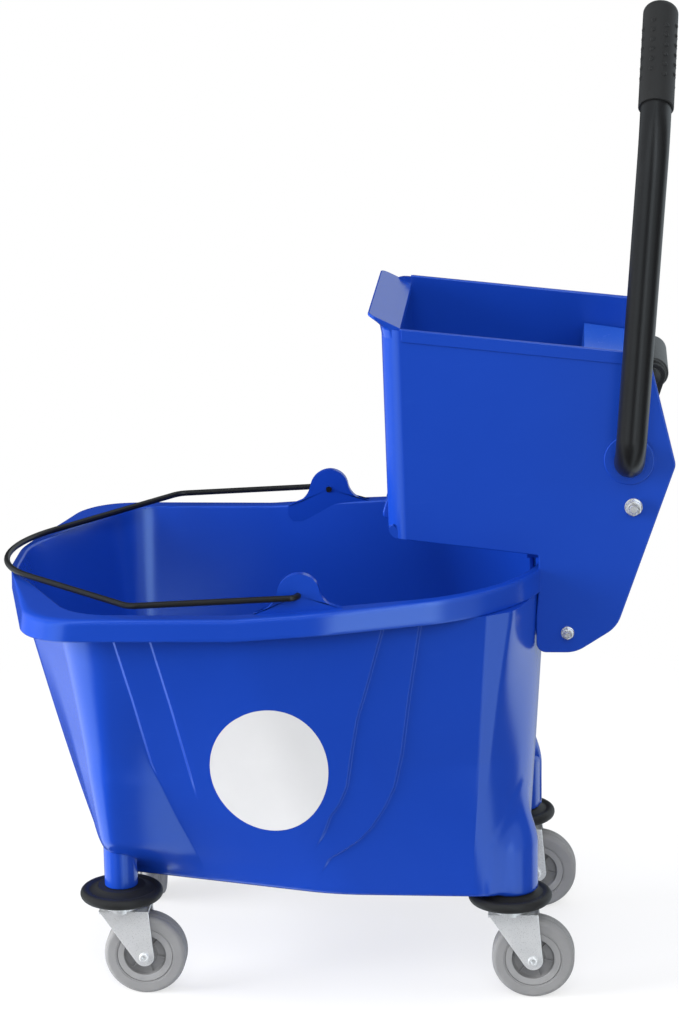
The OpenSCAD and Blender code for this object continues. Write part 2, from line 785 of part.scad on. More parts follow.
module wringer_hopper() {
    color(blue) at_wringer()
        difference() {
            union() {
                hopper_shell();
                difference() {
                    hopper_floor();
                    hopper_slots();
                }
                hopper_hook();
                hopper_lip();
                hopper_foot();
                hopper_band();
                crossbar(pivot, boss_r, -boss_y, -hopper_mid);
                crossbar(pivot, boss_r, hopper_mid, boss_y);
            }
            crossbar(pivot, shaft_r + bush_t, -boss_y - overrun, boss_y + overrun);
            crossbar(upper_rod, upper_rod_d / 2, -boss_y - overrun, boss_y + overrun);
            crossbar(lower_rod, lower_rod_d / 2, -boss_y - overrun, boss_y + overrun);
            crossbar(hinge, hinge_d / 2, -hopper_in - rod_seat, hopper_in + rod_seat);
        }
}
module shaft_bush(side) {
    y0 = side > 0 ? hopper_in : -boss_y;
    flange_y = side > 0 ? hopper_in - bush_flange_t : -hopper_in;
    color(bronze) at_wringer()
        difference() {
            union() {
                crossbar(pivot, shaft_r + bush_t, y0, y0 + boss_y - hopper_in);
                crossbar(pivot, bush_flange_r, flange_y, flange_y + bush_flange_t);
            }
            crossbar(pivot, shaft_r + run_gap, -boss_y - overrun, boss_y + overrun);
        }
}
module tie_rod(p, d) {
    end = hopper_half_w + washer_t + d * nut_h_share + thread_end;
    color(zinc) at_wringer() crossbar(p, d / 2, -end, end);
}
module rod_nuts(p, d) {
    nut_y = hopper_half_w + washer_t;
    color(zinc) at_wringer()
        difference() {
            for (side = [0, 1]) mirror([0, side, 0]) {
                crossbar(p, d * washer_r_share, hopper_half_w, nut_y);
                translate([p.x, nut_y + d * nut_h_share, p.y]) rotate([90, 0, 0])
                    cylinder(h = d * nut_h_share, r = d * nut_r_share, $fn = 6);
            }
            crossbar(p, d / 2, -nut_y - d, nut_y + d);
        }
}
module hinge_rod() {
    color(zinc) at_wringer() crossbar(hinge, hinge_d / 2, -hopper_in - rod_seat, hopper_in + rod_seat);
}

// Press plate, upright about its hinge and then leant back
module press_rib(y) {
    rib_top = press_l - top_t / 2;
    upright(y - rib_t / 2, y + rib_t / 2) polygon([
        [0, rib_foot], [rib_low_d, rib_foot], [rib_low_d, rib_low_l], [press_depth, rib_low_l + rib_step_l],
        [press_depth, rib_top], [0, rib_top]]);
}
module press_plate() {
    color(blue) at_wringer() translate([hinge.x, 0, hinge.y]) rotate([0, press_lean, 0])
        difference() {
            union() {
                translate([-panel_front, -press_half_w, -panel_foot])
                    cube([panel_t, 2 * press_half_w, press_l + panel_foot]);
                translate([-panel_front, -press_half_w, press_l - top_t])
                    cube([panel_front + press_depth, 2 * press_half_w, top_t]);
                for (y = [-press_half_w, press_half_w - side_rib_t])
                    translate([0, y, rib_foot])
                        cube([side_rib_d, side_rib_t, press_l - rib_foot - top_t / 2]);
                for (y = [rib_inner_y, rib_outer_y]) {
                    press_rib(y);
                    press_rib(-y);
                }
                crossbar([0, 0], knuckle_r, -press_half_w, press_half_w);
            }
            crossbar([0, 0], hinge_d / 2 + run_gap, -press_half_w - overrun, press_half_w + overrun);
        }
}

// Handle, in its leaning plane: runs out from the side plate, up, and over towards the far side
module at_handle() {
    at_wringer() translate([pivot.x, -tube_y, pivot.y]) rotate([0, tube_lean, 0])
        rotate([0, 0, -90]) rotate([90, 0, 0]) children();
}
module at_grip() {
    out = stub_l + elbow_r - grip_bend_r * (1 - cos(grip_turn));
    up = tube_l + grip_bend_r * sin(grip_turn);
    at_handle() translate([out, up, 0]) rotate([0, 0, 90 + grip_turn]) rotate([0, 90, 0]) children();
}
module handle_tube() {
    rise = [tube_run, grip_bend_r, grip_turn];
    color(black)
        difference() {
            at_handle()
                difference() {
                    bent_bar([[stub_l, elbow_r, 90], rise, [grip_arm, 0, 0]], tube_r);
                    translate([stub_l + elbow_r, elbow_r, 0]) rotate([0, 0, 90])
                        bent_bar([rise, [grip_arm + overrun, 0, 0]], tube_r - tube_t);
                }
            at_wringer() crossbar(pivot, shaft_r, -tube_y - shaft_grip, -tube_y + overrun);
        }
}
module handle_grip() {
    start = grip_arm + grip_cap_t - grip_l;
    stop = grip_arm + grip_cap_t;
    edge = [for (i = [0:grip_steps])
        let (a = 90 * i / grip_steps)
        [grip_r - grip_round + grip_round * cos(a), stop - grip_round + grip_round * sin(a)]];
    foot = [for (i = [0:grip_steps])
        let (a = 90 * i / grip_steps)
        [grip_r - fork_t + fork_t * sin(a), start + fork_t - fork_t * cos(a)]];
    cap = [[0, stop], [0, grip_arm], [tube_r, grip_arm]];
    color(black) at_grip() rotate_extrude() polygon(concat([[tube_r, start]], foot, edge, cap));
}
module drive_shaft() {
    far = boss_y + slide_gap + clip_t + shaft_end;
    color(zinc) at_wringer() crossbar(pivot, shaft_r, -tube_y - shaft_grip, far);
}
module shaft_clip() {
    near = boss_y + slide_gap;
    color(zinc) at_wringer()
        difference() {
            crossbar(pivot, clip_r, near, near + clip_t);
            crossbar(pivot, shaft_r, near - overrun, near + clip_t + overrun);
        }
}
module cam_arm(side) {
    y0 = side > 0 ? arm_in : -arm_in - arm_t;
    end = roller_at(0);
    along = unit(end - pivot);
    across = [-along.y, along.x];
    color(black) at_wringer()
        difference() {
            union() {
                crossbar(pivot, arm_hub_r, y0, y0 + arm_t);
                crossbar(end, arm_end_r, y0, y0 + arm_t);
                upright(y0, y0 + arm_t) polygon([
                    pivot + across * arm_end_r, pivot - across * arm_end_r,
                    end - across * arm_end_r, end + across * arm_end_r]);
            }
            crossbar(pivot, shaft_r, y0 - overrun, y0 + arm_t + overrun);
            crossbar(end, roller_pin_r, y0 - overrun, y0 + arm_t + overrun);
        }
}
module roller_pin() {
    end = arm_in + arm_t;
    color(zinc) at_wringer() {
        crossbar(roller_at(0), roller_pin_r, -end, end);
        crossbar(roller_at(0), pin_cap_r, -end - pin_cap_t, -end);
        crossbar(roller_at(0), pin_cap_r, end, end + pin_cap_t);
    }
}
module press_roller() {
    half = arm_in - roller_end_gap;
    color(tread_grey) at_wringer()
        difference() {
            crossbar(roller_at(0), roller_r, -half, half);
            crossbar(roller_at(0), roller_pin_r + run_gap, -half - overrun, half + overrun);
        }
}

bucket();
bail_handle();
for (i = [0:3]) {
    bumper_disc(i);
    caster_stem(i);
    swivel_bearing(i);
    caster_fork(i);
    axle_bolt(i);
    axle_nut(i);
    wheel_hub(i);
    wheel_tyre(i);
}
wringer_hopper();
press_plate();
hinge_rod();
tie_rod(upper_rod, upper_rod_d);  // upper_tie_rod
rod_nuts(upper_rod, upper_rod_d);  // upper_rod_nuts
tie_rod(lower_rod, lower_rod_d);  // lower_tie_rod
rod_nuts(lower_rod, lower_rod_d);  // lower_rod_nuts
handle_tube();
handle_grip();
drive_shaft();
shaft_bush(-1);  // shaft_bush_near
shaft_bush(1);  // shaft_bush_far
cam_arm(-1);  // cam_arm_near
cam_arm(1);  // cam_arm_far
press_roller();
roller_pin();
shaft_clip();
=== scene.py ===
import math

import bmesh
import bpy
from mathutils import Matrix, Vector


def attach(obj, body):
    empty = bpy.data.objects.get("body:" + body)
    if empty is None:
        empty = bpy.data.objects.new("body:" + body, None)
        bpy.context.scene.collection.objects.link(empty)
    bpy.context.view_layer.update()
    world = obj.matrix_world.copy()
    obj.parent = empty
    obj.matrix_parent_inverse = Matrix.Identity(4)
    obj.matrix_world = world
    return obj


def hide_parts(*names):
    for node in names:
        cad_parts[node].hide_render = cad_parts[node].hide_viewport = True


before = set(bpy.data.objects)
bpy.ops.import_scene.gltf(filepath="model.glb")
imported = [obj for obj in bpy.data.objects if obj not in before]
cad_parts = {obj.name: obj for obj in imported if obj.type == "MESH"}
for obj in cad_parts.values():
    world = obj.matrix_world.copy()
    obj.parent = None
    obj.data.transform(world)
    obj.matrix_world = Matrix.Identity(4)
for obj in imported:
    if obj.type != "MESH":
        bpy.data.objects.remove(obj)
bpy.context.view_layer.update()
print("frame loaded:", len(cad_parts), "nodes")

midX = 17.2971      # mm from the stem centre that the layout starts at to the model's middle
endX = 214.5        # end wall of the bucket, where the wringer hooks on
seatZ = 407.7       # level of the wringer's seat
corners = {"front_left": (-180, -112), "front_right": (-180, 112),
           "rear_left": (180, -112), "rear_right": (180, 112)}


def mm(x, y, z):                # layout millimetres to model metres
    return Vector(((x - midX) / 1000, y / 1000, z / 1000))


def atWringer(x, y, z):         # millimetres from the end wall's top edge
    return mm(endX + x, y, seatZ + z)


def mix(a, b, share):
    return a + (b - a) * share


def ease(v):
    v = max(0.0, min(1.0, v))
    return v * v * (3 - 2 * v)


def readTable(table, at):       # straight lines between rows of (key, value), keys rising
    if at <= table[0][0]:
        return table[0][1]
    for (k0, v0), (k1, v1) in zip(table, table[1:]):
        if at <= k1:
            return mix(v0, v1, (at - k0) / (k1 - k0))
    return table[-1][1]


# finishes

def newGroup(name, inputs, outputs):
    group = bpy.data.node_groups.new(name, "ShaderNodeTree")
    for label, value in inputs:
        socket = group.interface.new_socket(label, in_out="INPUT", socket_type="NodeSocketFloat")
        socket.default_value = value
    for label in outputs:
        group.interface.new_socket(label, in_out="OUTPUT", socket_type="NodeSocketFloat")
    return group, group.nodes.new("NodeGroupInput"), group.nodes.new("NodeGroupOutput")


def addNode(tree, kind, values=(), **fields):         # values are pairs of a socket and its constant
    node = tree.nodes.new(kind)
    for field, value in fields.items():
        setattr(node, field, value)
    for socket, value in values:
        node.inputs[socket].default_value = value
    return node


def wire(tree, *pairs):
    for start, end in pairs:
        tree.links.new(start, end)


def makeMouldedGroup():         # skin of a moulded piece: fine grain, slow clouds and faint rubbed streaks
    group, source, sink = newGroup("mouldedSkin",
                                   [("Grain Scale", 900.0), ("Cloud Scale", 9.0), ("Streak Scale", 60.0)],
                                   ["Grain", "Cloud", "Streak"])
    place = addNode(group, "ShaderNodeTexCoord").outputs["Object"]
    grain = addNode(group, "ShaderNodeTexNoise", [("Detail", 3.0)])
    cloud = addNode(group, "ShaderNodeTexNoise", [("Detail", 4.0), ("Roughness", 0.6)])
    turn = addNode(group, "ShaderNodeMapping", [("Rotation", (0.3, 0.9, 0.4)), ("Scale", (1.0, 0.3, 6.0))])
    streak = addNode(group, "ShaderNodeTexNoise", [("Detail", 6.0), ("Roughness", 0.75)])
    cut = addNode(group, "ShaderNodeMapRange", [("From Min", 0.60), ("From Max", 0.78)])
    for texture, label in ((grain, "Grain Scale"), (cloud, "Cloud Scale"), (streak, "Streak Scale")):
        wire(group, (source.outputs[label], texture.inputs["Scale"]))
    wire(group,
         (place, grain.inputs["Vector"]), (place, cloud.inputs["Vector"]), (place, turn.inputs["Vector"]),
         (turn.outputs["Vector"], streak.inputs["Vector"]), (streak.outputs["Fac"], cut.inputs["Value"]),
         (grain.outputs["Fac"], sink.inputs["Grain"]), (cloud.outputs["Fac"], sink.inputs["Cloud"]),
         (cut.outputs["Result"], sink.inputs["Streak"]))
    return group


def makeFinish(name, look):
    material = bpy.data.materials.new(name)
    material.use_nodes = True
    tree = material.node_tree
    shader = tree.nodes["Principled BSDF"]
    skin = addNode(tree, "ShaderNodeGroup", node_tree=mouldedSkin)
    for label in ("grain", "cloud", "streak"):
        skin.inputs[label.title() + " Scale"].default_value = look[label]
    tone = addNode(tree, "ShaderNodeMix", [(6, (*look["deep"], 1)), (7, (*look["light"], 1))], data_type="RGBA")
    rub = addNode(tree, "ShaderNodeMix", [(7, (*look["rubbed"], 1))], data_type="RGBA")
    dose = addNode(tree, "ShaderNodeMath", [(1, look["rubShare"])], operation="MULTIPLY")
    gloss = addNode(tree, "ShaderNodeMapRange", [("From Min", 0.25), ("From Max", 0.75),
                                                 ("To Min", look["smooth"]), ("To Max", look["rough"])])
    haze = addNode(tree, "ShaderNodeMath", [(1, look["rubRough"])], operation="MULTIPLY_ADD")
    bump = addNode(tree, "ShaderNodeBump", [("Strength", look["bump"]), ("Distance", look["bumpDepth"])])
    wire(tree,
         (skin.outputs["Cloud"], tone.inputs[0]), (skin.outputs["Streak"], dose.inputs[0]),
         (dose.outputs[0], rub.inputs[0]), (tone.outputs[2], rub.inputs[6]),
         (rub.outputs[2], shader.inputs["Base Color"]),
         (skin.outputs["Grain"], gloss.inputs["Value"]), (skin.outputs["Streak"], haze.inputs[0]),
         (gloss.outputs["Result"], haze.inputs[2]), (haze.outputs[0], shader.inputs["Roughness"]),
         (skin.outputs["Grain"], bump.inputs["Height"]), (bump.outputs["Normal"], shader.inputs["Normal"]))
    shader.inputs["Metallic"].default_value = look.get("metal", 0.0)
    shader.inputs["Specular IOR Level"].default_value = look.get("specular", 0.5)
    shader.inputs["Specular Tint"].default_value = (*look.get("tint", (1, 1, 1)), 1)
    shader.inputs["Coat Weight"].default_value = look.get("coat", 0.0)
    shader.inputs["Coat Roughness"].default_value = look.get("coatRough", 0.2)
    return material


mouldedSkin = makeMouldedGroup()
bluePlastic = makeFinish("blueMouldedPlastic", {
    "deep": (0.0055, 0.041, 0.345), "light": (0.0075, 0.049, 0.395), "rubbed": (0.012, 0.062, 0.44), "rubShare": 0.25,
    "smooth": 0.17, "rough": 0.25, "rubRough": 0.06, "grain": 750.0, "cloud": 7.0, "streak": 26.0,
    "bump": 0.02, "bumpDepth": 0.0003, "specular": 0.9, "tint": (0.5, 0.74, 1.0)})
# painted light: a lighter copy of the blue plastic, standing in for the light falling on the press plate's top
paintedLightBlue = makeFinish("bluePlasticPaintedLight", {
    "deep": (0.018, 0.092, 0.52), "light": (0.024, 0.106, 0.58), "rubbed": (0.03, 0.12, 0.62), "rubShare": 0.25,
    "smooth": 0.2, "rough": 0.28, "rubRough": 0.06, "grain": 750.0, "cloud": 7.0, "streak": 26.0,
    "bump": 0.02, "bumpDepth": 0.0003, "specular": 0.9, "tint": (0.5, 0.74, 1.0)})
blackPaint = makeFinish("blackPaintedSteel", {
    "deep": (0.0055, 0.0055, 0.006), "light": (0.009, 0.009, 0.0095), "rubbed": (0.03, 0.03, 0.03), "rubShare": 0.3,
    "smooth": 0.27, "rough": 0.42, "rubRough": 0.1, "grain": 1500.0, "cloud": 25.0, "streak": 90.0,
    "bump": 0.06, "bumpDepth": 0.0003, "specular": 0.32, "coat": 0.06, "coatRough": 0.2})
blackRubber = makeFinish("blackMouldedRubber", {
    "deep": (0.011, 0.011, 0.0112), "light": (0.017, 0.017, 0.0172), "rubbed": (0.026, 0.025, 0.025), "rubShare": 0.4,
    "smooth": 0.42, "rough": 0.6, "rubRough": 0.1, "grain": 1100.0, "cloud": 18.0, "streak": 70.0,
    "bump": 0.12, "bumpDepth": 0.0004, "specular": 0.28})
zincPlate = makeFinish("zincPlatedSteel", {
    "deep": (0.68, 0.685, 0.69), "light": (0.86, 0.86, 0.865), "rubbed": (0.58, 0.58, 0.585), "rubShare": 0.35,
    "smooth": 0.24, "rough": 0.38, "rubRough": 0.08, "grain": 1300.0, "cloud": 60.0, "streak": 160.0,
    "bump": 0.08, "bumpDepth": 0.0003, "metal": 0.55})
brightNut = makeFinish("platedNut", {
    "deep": (0.66, 0.66, 0.67), "light": (0.82, 0.82, 0.83), "rubbed": (0.42, 0.42, 0.42), "rubShare": 0.35,
    "smooth": 0.18, "rough": 0.3, "rubRough": 0.08, "grain": 1300.0, "cloud": 90.0, "streak": 200.0,
    "bump": 0.08, "bumpDepth": 0.0003, "metal": 0.7})
greyTread = makeFinish("greyRubberTread", {
    "deep": (0.195, 0.195, 0.197), "light": (0.25, 0.25, 0.252), "rubbed": (0.15, 0.15, 0.15), "rubShare": 0.35,
    "smooth": 0.48, "rough": 0.66, "rubRough": 0.1, "grain": 1200.0, "cloud": 40.0, "streak": 120.0,
    "bump": 0.18, "bumpDepth": 0.0004, "specular": 0.4})
greyHub = makeFinish("greyHubPlastic", {
    "deep": (0.23, 0.23, 0.232), "light": (0.285, 0.285, 0.287), "rubbed": (0.18, 0.18, 0.18), "rubShare": 0.3,
    "smooth": 0.36, "rough": 0.5, "rubRough": 0.1, "grain": 900.0, "cloud": 30.0, "streak": 90.0,
    "bump": 0.1, "bumpDepth": 0.0003, "specular": 0.45})
darkHub = makeFinish("darkHubRecess", {
    "deep": (0.165, 0.165, 0.168), "light": (0.21, 0.21, 0.213), "rubbed": (0.18, 0.18, 0.18), "rubShare": 0.3,
    "smooth": 0.4, "rough": 0.55, "rubRough": 0.1, "grain": 900.0, "cloud": 30.0, "streak": 90.0,
    "bump": 0.1, "bumpDepth": 0.0003, "specular": 0.45})
blackRoller = makeFinish("blackRollerPlastic", {
    "deep": (0.008, 0.008, 0.008), "light": (0.014, 0.014, 0.014), "rubbed": (0.03, 0.03, 0.03), "rubShare": 0.5,
    "smooth": 0.3, "rough": 0.45, "rubRough": 0.12, "grain": 900.0, "cloud": 25.0, "streak": 70.0,
    "bump": 0.08, "bumpDepth": 0.0003, "specular": 0.5})
bushBronze = makeFinish("sinteredBronze", {
    "deep": (0.23, 0.13, 0.05), "light": (0.36, 0.21, 0.085), "rubbed": (0.15, 0.09, 0.04), "rubShare": 0.5,
    "smooth": 0.32, "rough": 0.5, "rubRough": 0.1, "grain": 2200.0, "cloud": 90.0, "streak": 200.0,
    "bump": 0.15, "bumpDepth": 0.0002, "metal": 1.0})
whiteDisc = makeFinish("whitePrintedDisc", {
    "deep": (0.56, 0.56, 0.565), "light": (0.61, 0.61, 0.615), "rubbed": (0.50, 0.51, 0.54), "rubShare": 0.2,
    "smooth": 0.34, "rough": 0.46, "rubRough": 0.1, "grain": 1400.0, "cloud": 20.0, "streak": 60.0,
    "bump": 0.05, "bumpDepth": 0.0002, "specular": 0.4})
print("finishes made:", len(bpy.data.materials))


# shared ways of working

def facesOf(verts):             # each face once, always in the same order
    return list(dict.fromkeys(f for v in verts for f in v.link_faces))


def edgesOf(parts):             # the same for the edges of faces
    return list(dict.fromkeys(e for part in parts for e in part.edges))


def newVerts(made):             # the vertices among an operator's results
    return [g for g in made["geom"] if isinstance(g, bmesh.types.BMVert)]


def softenEdges(bm, edges, width, segments):          # width in mm
    bmesh.ops.bevel(bm, geom=edges, offset=width / 1000, offset_type="OFFSET", segments=segments, profile=0.5,
                    affect="EDGES", material=-1, clamp_overlap=True)


def addPiece(name, bm, body, nodes, finish, sharp=38, clean=True):
    if clean:
        bmesh.ops.remove_doubles(bm, verts=bm.verts, dist=3e-6)
        bmesh.ops.recalc_face_normals(bm, faces=bm.faces)
    mesh = bpy.data.meshes.new(name)
    bm.to_mesh(mesh)
    bm.free()
    mesh.shade_smooth()
    mesh.set_sharp_from_angle(angle=math.radians(sharp))
    piece = bpy.data.objects.new(name, mesh)
    bpy.context.scene.collection.objects.link(piece)
    for one in (finish if isinstance(finish, (list, tuple)) else [finish]):
        mesh.materials.append(one)
    even = piece.modifiers.new("evenNormals", "WEIGHTED_NORMAL")
    even.keep_sharp = True
    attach(piece, body)
    if nodes:
        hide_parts(*nodes)


def spinShape(bm, profile, centre, axis, steps, materialIndex=0):
    # profile rows are (radius, along the axis) in mm
    axis = Vector(axis).normalized()
    side = axis.orthogonal().normalized()
    verts = [bm.verts.new(centre + side * (r / 1000) + axis * (h / 1000)) for r, h in profile]
    edges = [bm.edges.new(pair) for pair in zip(verts, verts[1:])]
    before = set(bm.faces)
    bmesh.ops.spin(bm, geom=verts + edges, cent=centre, axis=axis, angle=2 * math.pi, steps=steps, use_merge=True)
    made = [f for f in bm.faces if f not in before]
    for face in made:
        face.material_index = materialIndex
    bmesh.ops.remove_doubles(bm, verts=list(dict.fromkeys(v for f in made for v in f.verts)), dist=1e-6)


def arcRows(r, h, radius, start, stop, steps):        # quarter turns for profiles: centre (r, h), angles in degrees
    return [(r + radius * math.cos(math.radians(mix(start, stop, i / steps))),
             h + radius * math.sin(math.radians(mix(start, stop, i / steps)))) for i in range(steps + 1)]


def sweepTube(bm, path, radius, sides):               # a ring pushed along a path of points
    tangents = []
    for i in range(len(path)):
        a, b = path[max(i - 1, 0)], path[min(i + 1, len(path) - 1)]
        tangents.append((b - a).normalized())
    turn = Vector((0, 0, 1)).rotation_difference(tangents[0]).to_matrix().to_4x4()
    ring = bmesh.ops.create_circle(bm, segments=sides, radius=radius, cap_ends=True,
                                   matrix=Matrix.Translation(path[0]) @ turn)["verts"]
    links = dict.fromkeys(e for v in ring for e in v.link_edges)
    edges = [e for e in links if all(v in ring for v in e.verts)]
    for i in range(1, len(path)):
        made = bmesh.ops.extrude_edge_only(bm, edges=edges)
        ring = newVerts(made)
        edges = [g for g in made["geom"] if isinstance(g, bmesh.types.BMEdge) and all(v in ring for v in g.verts)]
        bmesh.ops.rotate(bm, verts=ring, cent=path[i - 1],
                         matrix=tangents[i - 1].rotation_difference(tangents[i]).to_matrix())
        bmesh.ops.translate(bm, verts=ring, vec=path[i] - path[i - 1])
    bmesh.ops.edgeloop_fill(bm, edges=edges)


def barPath(steps):             # flat path of runs and bends: (run, bend radius, turn in degrees)
    at, heading, points = Vector((0, 0)), 0.0, [Vector((0, 0))]
    for run, bend, turn in steps:
        ahead = Vector((math.cos(heading), math.sin(heading)))
        count = max(1, int(run / 12))
        points += [at + ahead * (run * i / count) for i in range(1, count + 1)]
        at = points[-1]
        if turn:
            left = Vector((-ahead.y, ahead.x))
            count = max(4, int(abs(turn) / 4.5))
            for i in range(1, count + 1):
                a = math.radians(turn) * i / count
                points.append(at + left * (bend * (1 - math.cos(a))) + ahead * (bend * math.sin(a)))
            at = points[-1]
            heading += math.radians(turn)
    return points


def bothEnds(rows):             # a profile and its mirror image
    return rows + [(r, -h) for r, h in reversed(rows)]


def roundOff(p, c, q, radius, steps):                 # arc that rounds the corner c between p and q
    u, v = (p - c).normalized(), (q - c).normalized()
    half = math.acos(max(-1, min(1, u.dot(v)))) / 2
    if radius <= 0 or half > math.radians(89.9):
        return [c.copy()]
    centre = c + (u + v).normalized() * (radius / math.sin(half))
    a = c + u * (radius / math.tan(half)) - centre
    b = c + v * (radius / math.tan(half)) - centre
    start = math.atan2(a.y, a.x)
    sweep = (math.atan2(b.y, b.x) - start + math.pi) % (2 * math.pi) - math.pi
    return [centre + Vector((math.cos(start + sweep * i / steps), math.sin(start + sweep * i / steps))) * radius
            for i in range(steps + 1)]


def roundedOutline(points, radii, steps):
    count = len(points)
    rounded = []
    for i, (p, r) in enumerate(zip(points, radii)):
        rounded += roundOff(points[i - 1], p, points[(i + 1) % count], r, steps)
    return rounded


def slab(bm, outline, place, y0, y1, bevel, segments=3, keepSharp=None):   # outline in (x, z), thickness along Y
    verts = [bm.verts.new(place(p.x, y0, p.y)) for p in outline]
    face = bm.faces.new(verts)
    raised = newVerts(bmesh.ops.extrude_face_region(bm, geom=[face]))
    bmesh.ops.translate(bm, verts=raised, vec=place(0, y1, 0) - place(0, y0, 0))
    faces = facesOf(verts + raised)
    bmesh.ops.recalc_face_normals(bm, faces=faces)
    if bevel:
        loops = edgesOf(f for f in faces if abs(f.normal.y) > 0.9)
        if keepSharp:
            loops = [e for e in loops if not keepSharp(e)]
        softenEdges(bm, loops, bevel, segments)


def loft(bm, rings):            # skin through rings of equal count, closed at both ends
    ring = bmesh.ops.create_circle(bm, segments=len(rings[0]), radius=0.1, cap_ends=True)["verts"]
    for v, p in zip(ring, rings[0]):
        v.co = p
    edges = [bm.edges.get((a, b)) for a, b in zip(ring, ring[1:] + ring[:1])]
    for points in rings[1:]:
        fresh = set(newVerts(bmesh.ops.extrude_edge_only(bm, edges=edges)))
        ring = [next(e.other_vert(v) for e in v.link_edges if e.other_vert(v) in fresh) for v in ring]
        for v, p in zip(ring, points):
            v.co = p
        edges = [bm.edges.get((a, b)) for a, b in zip(ring, ring[1:] + ring[:1])]
    bmesh.ops.edgeloop_fill(bm, edges=edges)


def roundedCopy(node, width, segments=2, sharp=30):   # a CAD solid's shape with its hard edges rounded
    bm = bmesh.new()
    bm.from_mesh(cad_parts[node].data)
    bmesh.ops.remove_doubles(bm, verts=bm.verts, dist=1e-5)
    bmesh.ops.dissolve_limit(bm, angle_limit=math.radians(0.6), verts=bm.verts, edges=bm.edges)
    hard = [e for e in bm.edges if len(e.link_faces) == 2 and e.calc_face_angle(0) > math.radians(sharp)]
    softenEdges(bm, hard, width, segments)
    return bm


def addHexNut(bm, centre, radius, depth, edge):       # nut on an axis along Y, sizes in mm
    place = Matrix.Translation(centre) @ Matrix.Rotation(math.pi / 2, 4, "X")
    nut = bmesh.ops.create_cone(bm, cap_ends=True, segments=6, radius1=radius / 1000, radius2=radius / 1000,
                                depth=depth / 1000, matrix=place)["verts"]
    softenEdges(bm, edgesOf(facesOf(nut)), edge, 2)


# bucket: rings of points are drawn up the wall, and their columns follow the moulded lines

bucketForm = {
    "baseZ": 106.2, "rimZ": 387.2, "skirtZ": 367.2, "floorZ": 112.2, "wall": 5.0,
    "tip": ((-209, 20, 40), (-283, 45, 100)),         # base, then rim: x, half width, corner radius
    "front": ((-186, 84, 14), (-208, 190, 60)),
    "waist": ((20, 143, 200), (-60, 190, 200)),
    "rear": ((195, 146, 45), (214.5, 171, 125)),
    "flange": ((-285, 30, 100), (-246, 207, 50), (20, 202, 200), (215.2, 171.7, 125)),
    "baseRound": 5, "floorRound": 14, "rimRound": 5, "lipRound": 2, "skirtTaper": 0.08, "rimDraw": 0.30,
    "bow": 0.88,                                      # how soon the front walls lean out
    "rise": 20, "riseFrom": -60, "riseSpan": 274.5, "liftFrom": 126.2, "liftSpan": 261,
    "lineOuter": ((124, -102.4), (175, -122.6), (234, -143.6), (300, -155.9), (362, -168.7), (390, -174)),
    "lineInner": ((124, -92), (175, -98), (221, -106.9), (295, -121.1), (362, -135.4), (390, -141)),
    "curveInner": ((112, -6), (150, 2), (170, 12.7), (188, 19.5), (200, 28.1), (217, 35.4), (250, 40.4),
                   (282, 46.4), (314, 56.3), (363, 70.5), (390, 78)),
    "curveOuter": ((112, 0), (145, 17.3), (154, 31.3), (164, 45.2), (176, 56.4), (195, 68.7), (215, 78.1),
                   (245, 85.1), (304, 93.5), (362, 103.4), (390, 108)),
    "facetLeft": ((154, 148.4), (223, 153.6), (299, 158.8), (369, 163.8)),
    "facetRight": ((154, 151.0), (221, 162.5), (296, 172.8), (363, 183.8)),
    "flatX": 56, "flatTurn": 0.085, "facetTurn": 0.42,
    "stepWidth": 3.0, "softWidth": 3.0, "outerStep": 1.9, "innerStep": 1.8,
    "outerFade": (124, 34), "innerFade": (150, 34),   # fades are the level where one starts, and its height
    "leftFade": (212, 34), "secondFade": (194, 40), "sideFade": (40, 50),
    "legFlare": 44, "flareTop": 330, "flareSpan": 220, "flareEnd": -187, "flareFade": (110, 46),
    "columnR": 25.2, "columnFade": (146, 74), "columnBlend": 12, "columnSoft": 6,
    "legZ": 104.2, "legTop": 150, "legBore": 5.6, "legEdge": 1.5, "legDome": 7,
    "legR": {"front_left": 15.5, "front_right": 15.5, "rear_left": 24.5, "rear_right": 24.5},
    "rows": 84, "innerRows": 30,
}


def planCorners(share, grow):
    form, bow = bucketForm, max(share, 0) ** bucketForm["bow"]
    near, radii = [], []
    for label in ("tip", "front", "waist", "rear"):
        low, high = form[label]
        way = bow if label in ("tip", "front") else share
        near.append(Vector((mix(low[0], high[0], way), -mix(low[1], high[1], way))))
        radii.append(mix(low[2], high[2], share) + grow)
    return grownCorners(near, grow), radii


def grownCorners(near, grow):
    ring = [Vector((near[0].x, -near[0].y))] + near + [Vector((near[-1].x, -near[-1].y))]
    moved = []
    for a, b, c in zip(ring, ring[1:], ring[2:]):
        before, after = (b - a).normalized(), (c - b).normalized()
        n0, n1 = Vector((before.y, -before.x)), Vector((after.y, -after.x))
        moved.append(b + (n0 + n1) * (grow / (1 + n0.dot(n1))))
    return moved


def nearLine(near, radii):      # dense line along the near half, from the tip's middle to the end wall's middle
    ring = [Vector((near[0].x, -near[0].y))] + near + [Vector((near[-1].x, -near[-1].y))]
    line = [Vector((near[0].x, 0))]
    for i in range(1, 5):
        line += roundOff(ring[i - 1], ring[i], ring[i + 1], radii[i - 1], 30)
    line.append(Vector((near[-1].x, 0)))
    return line


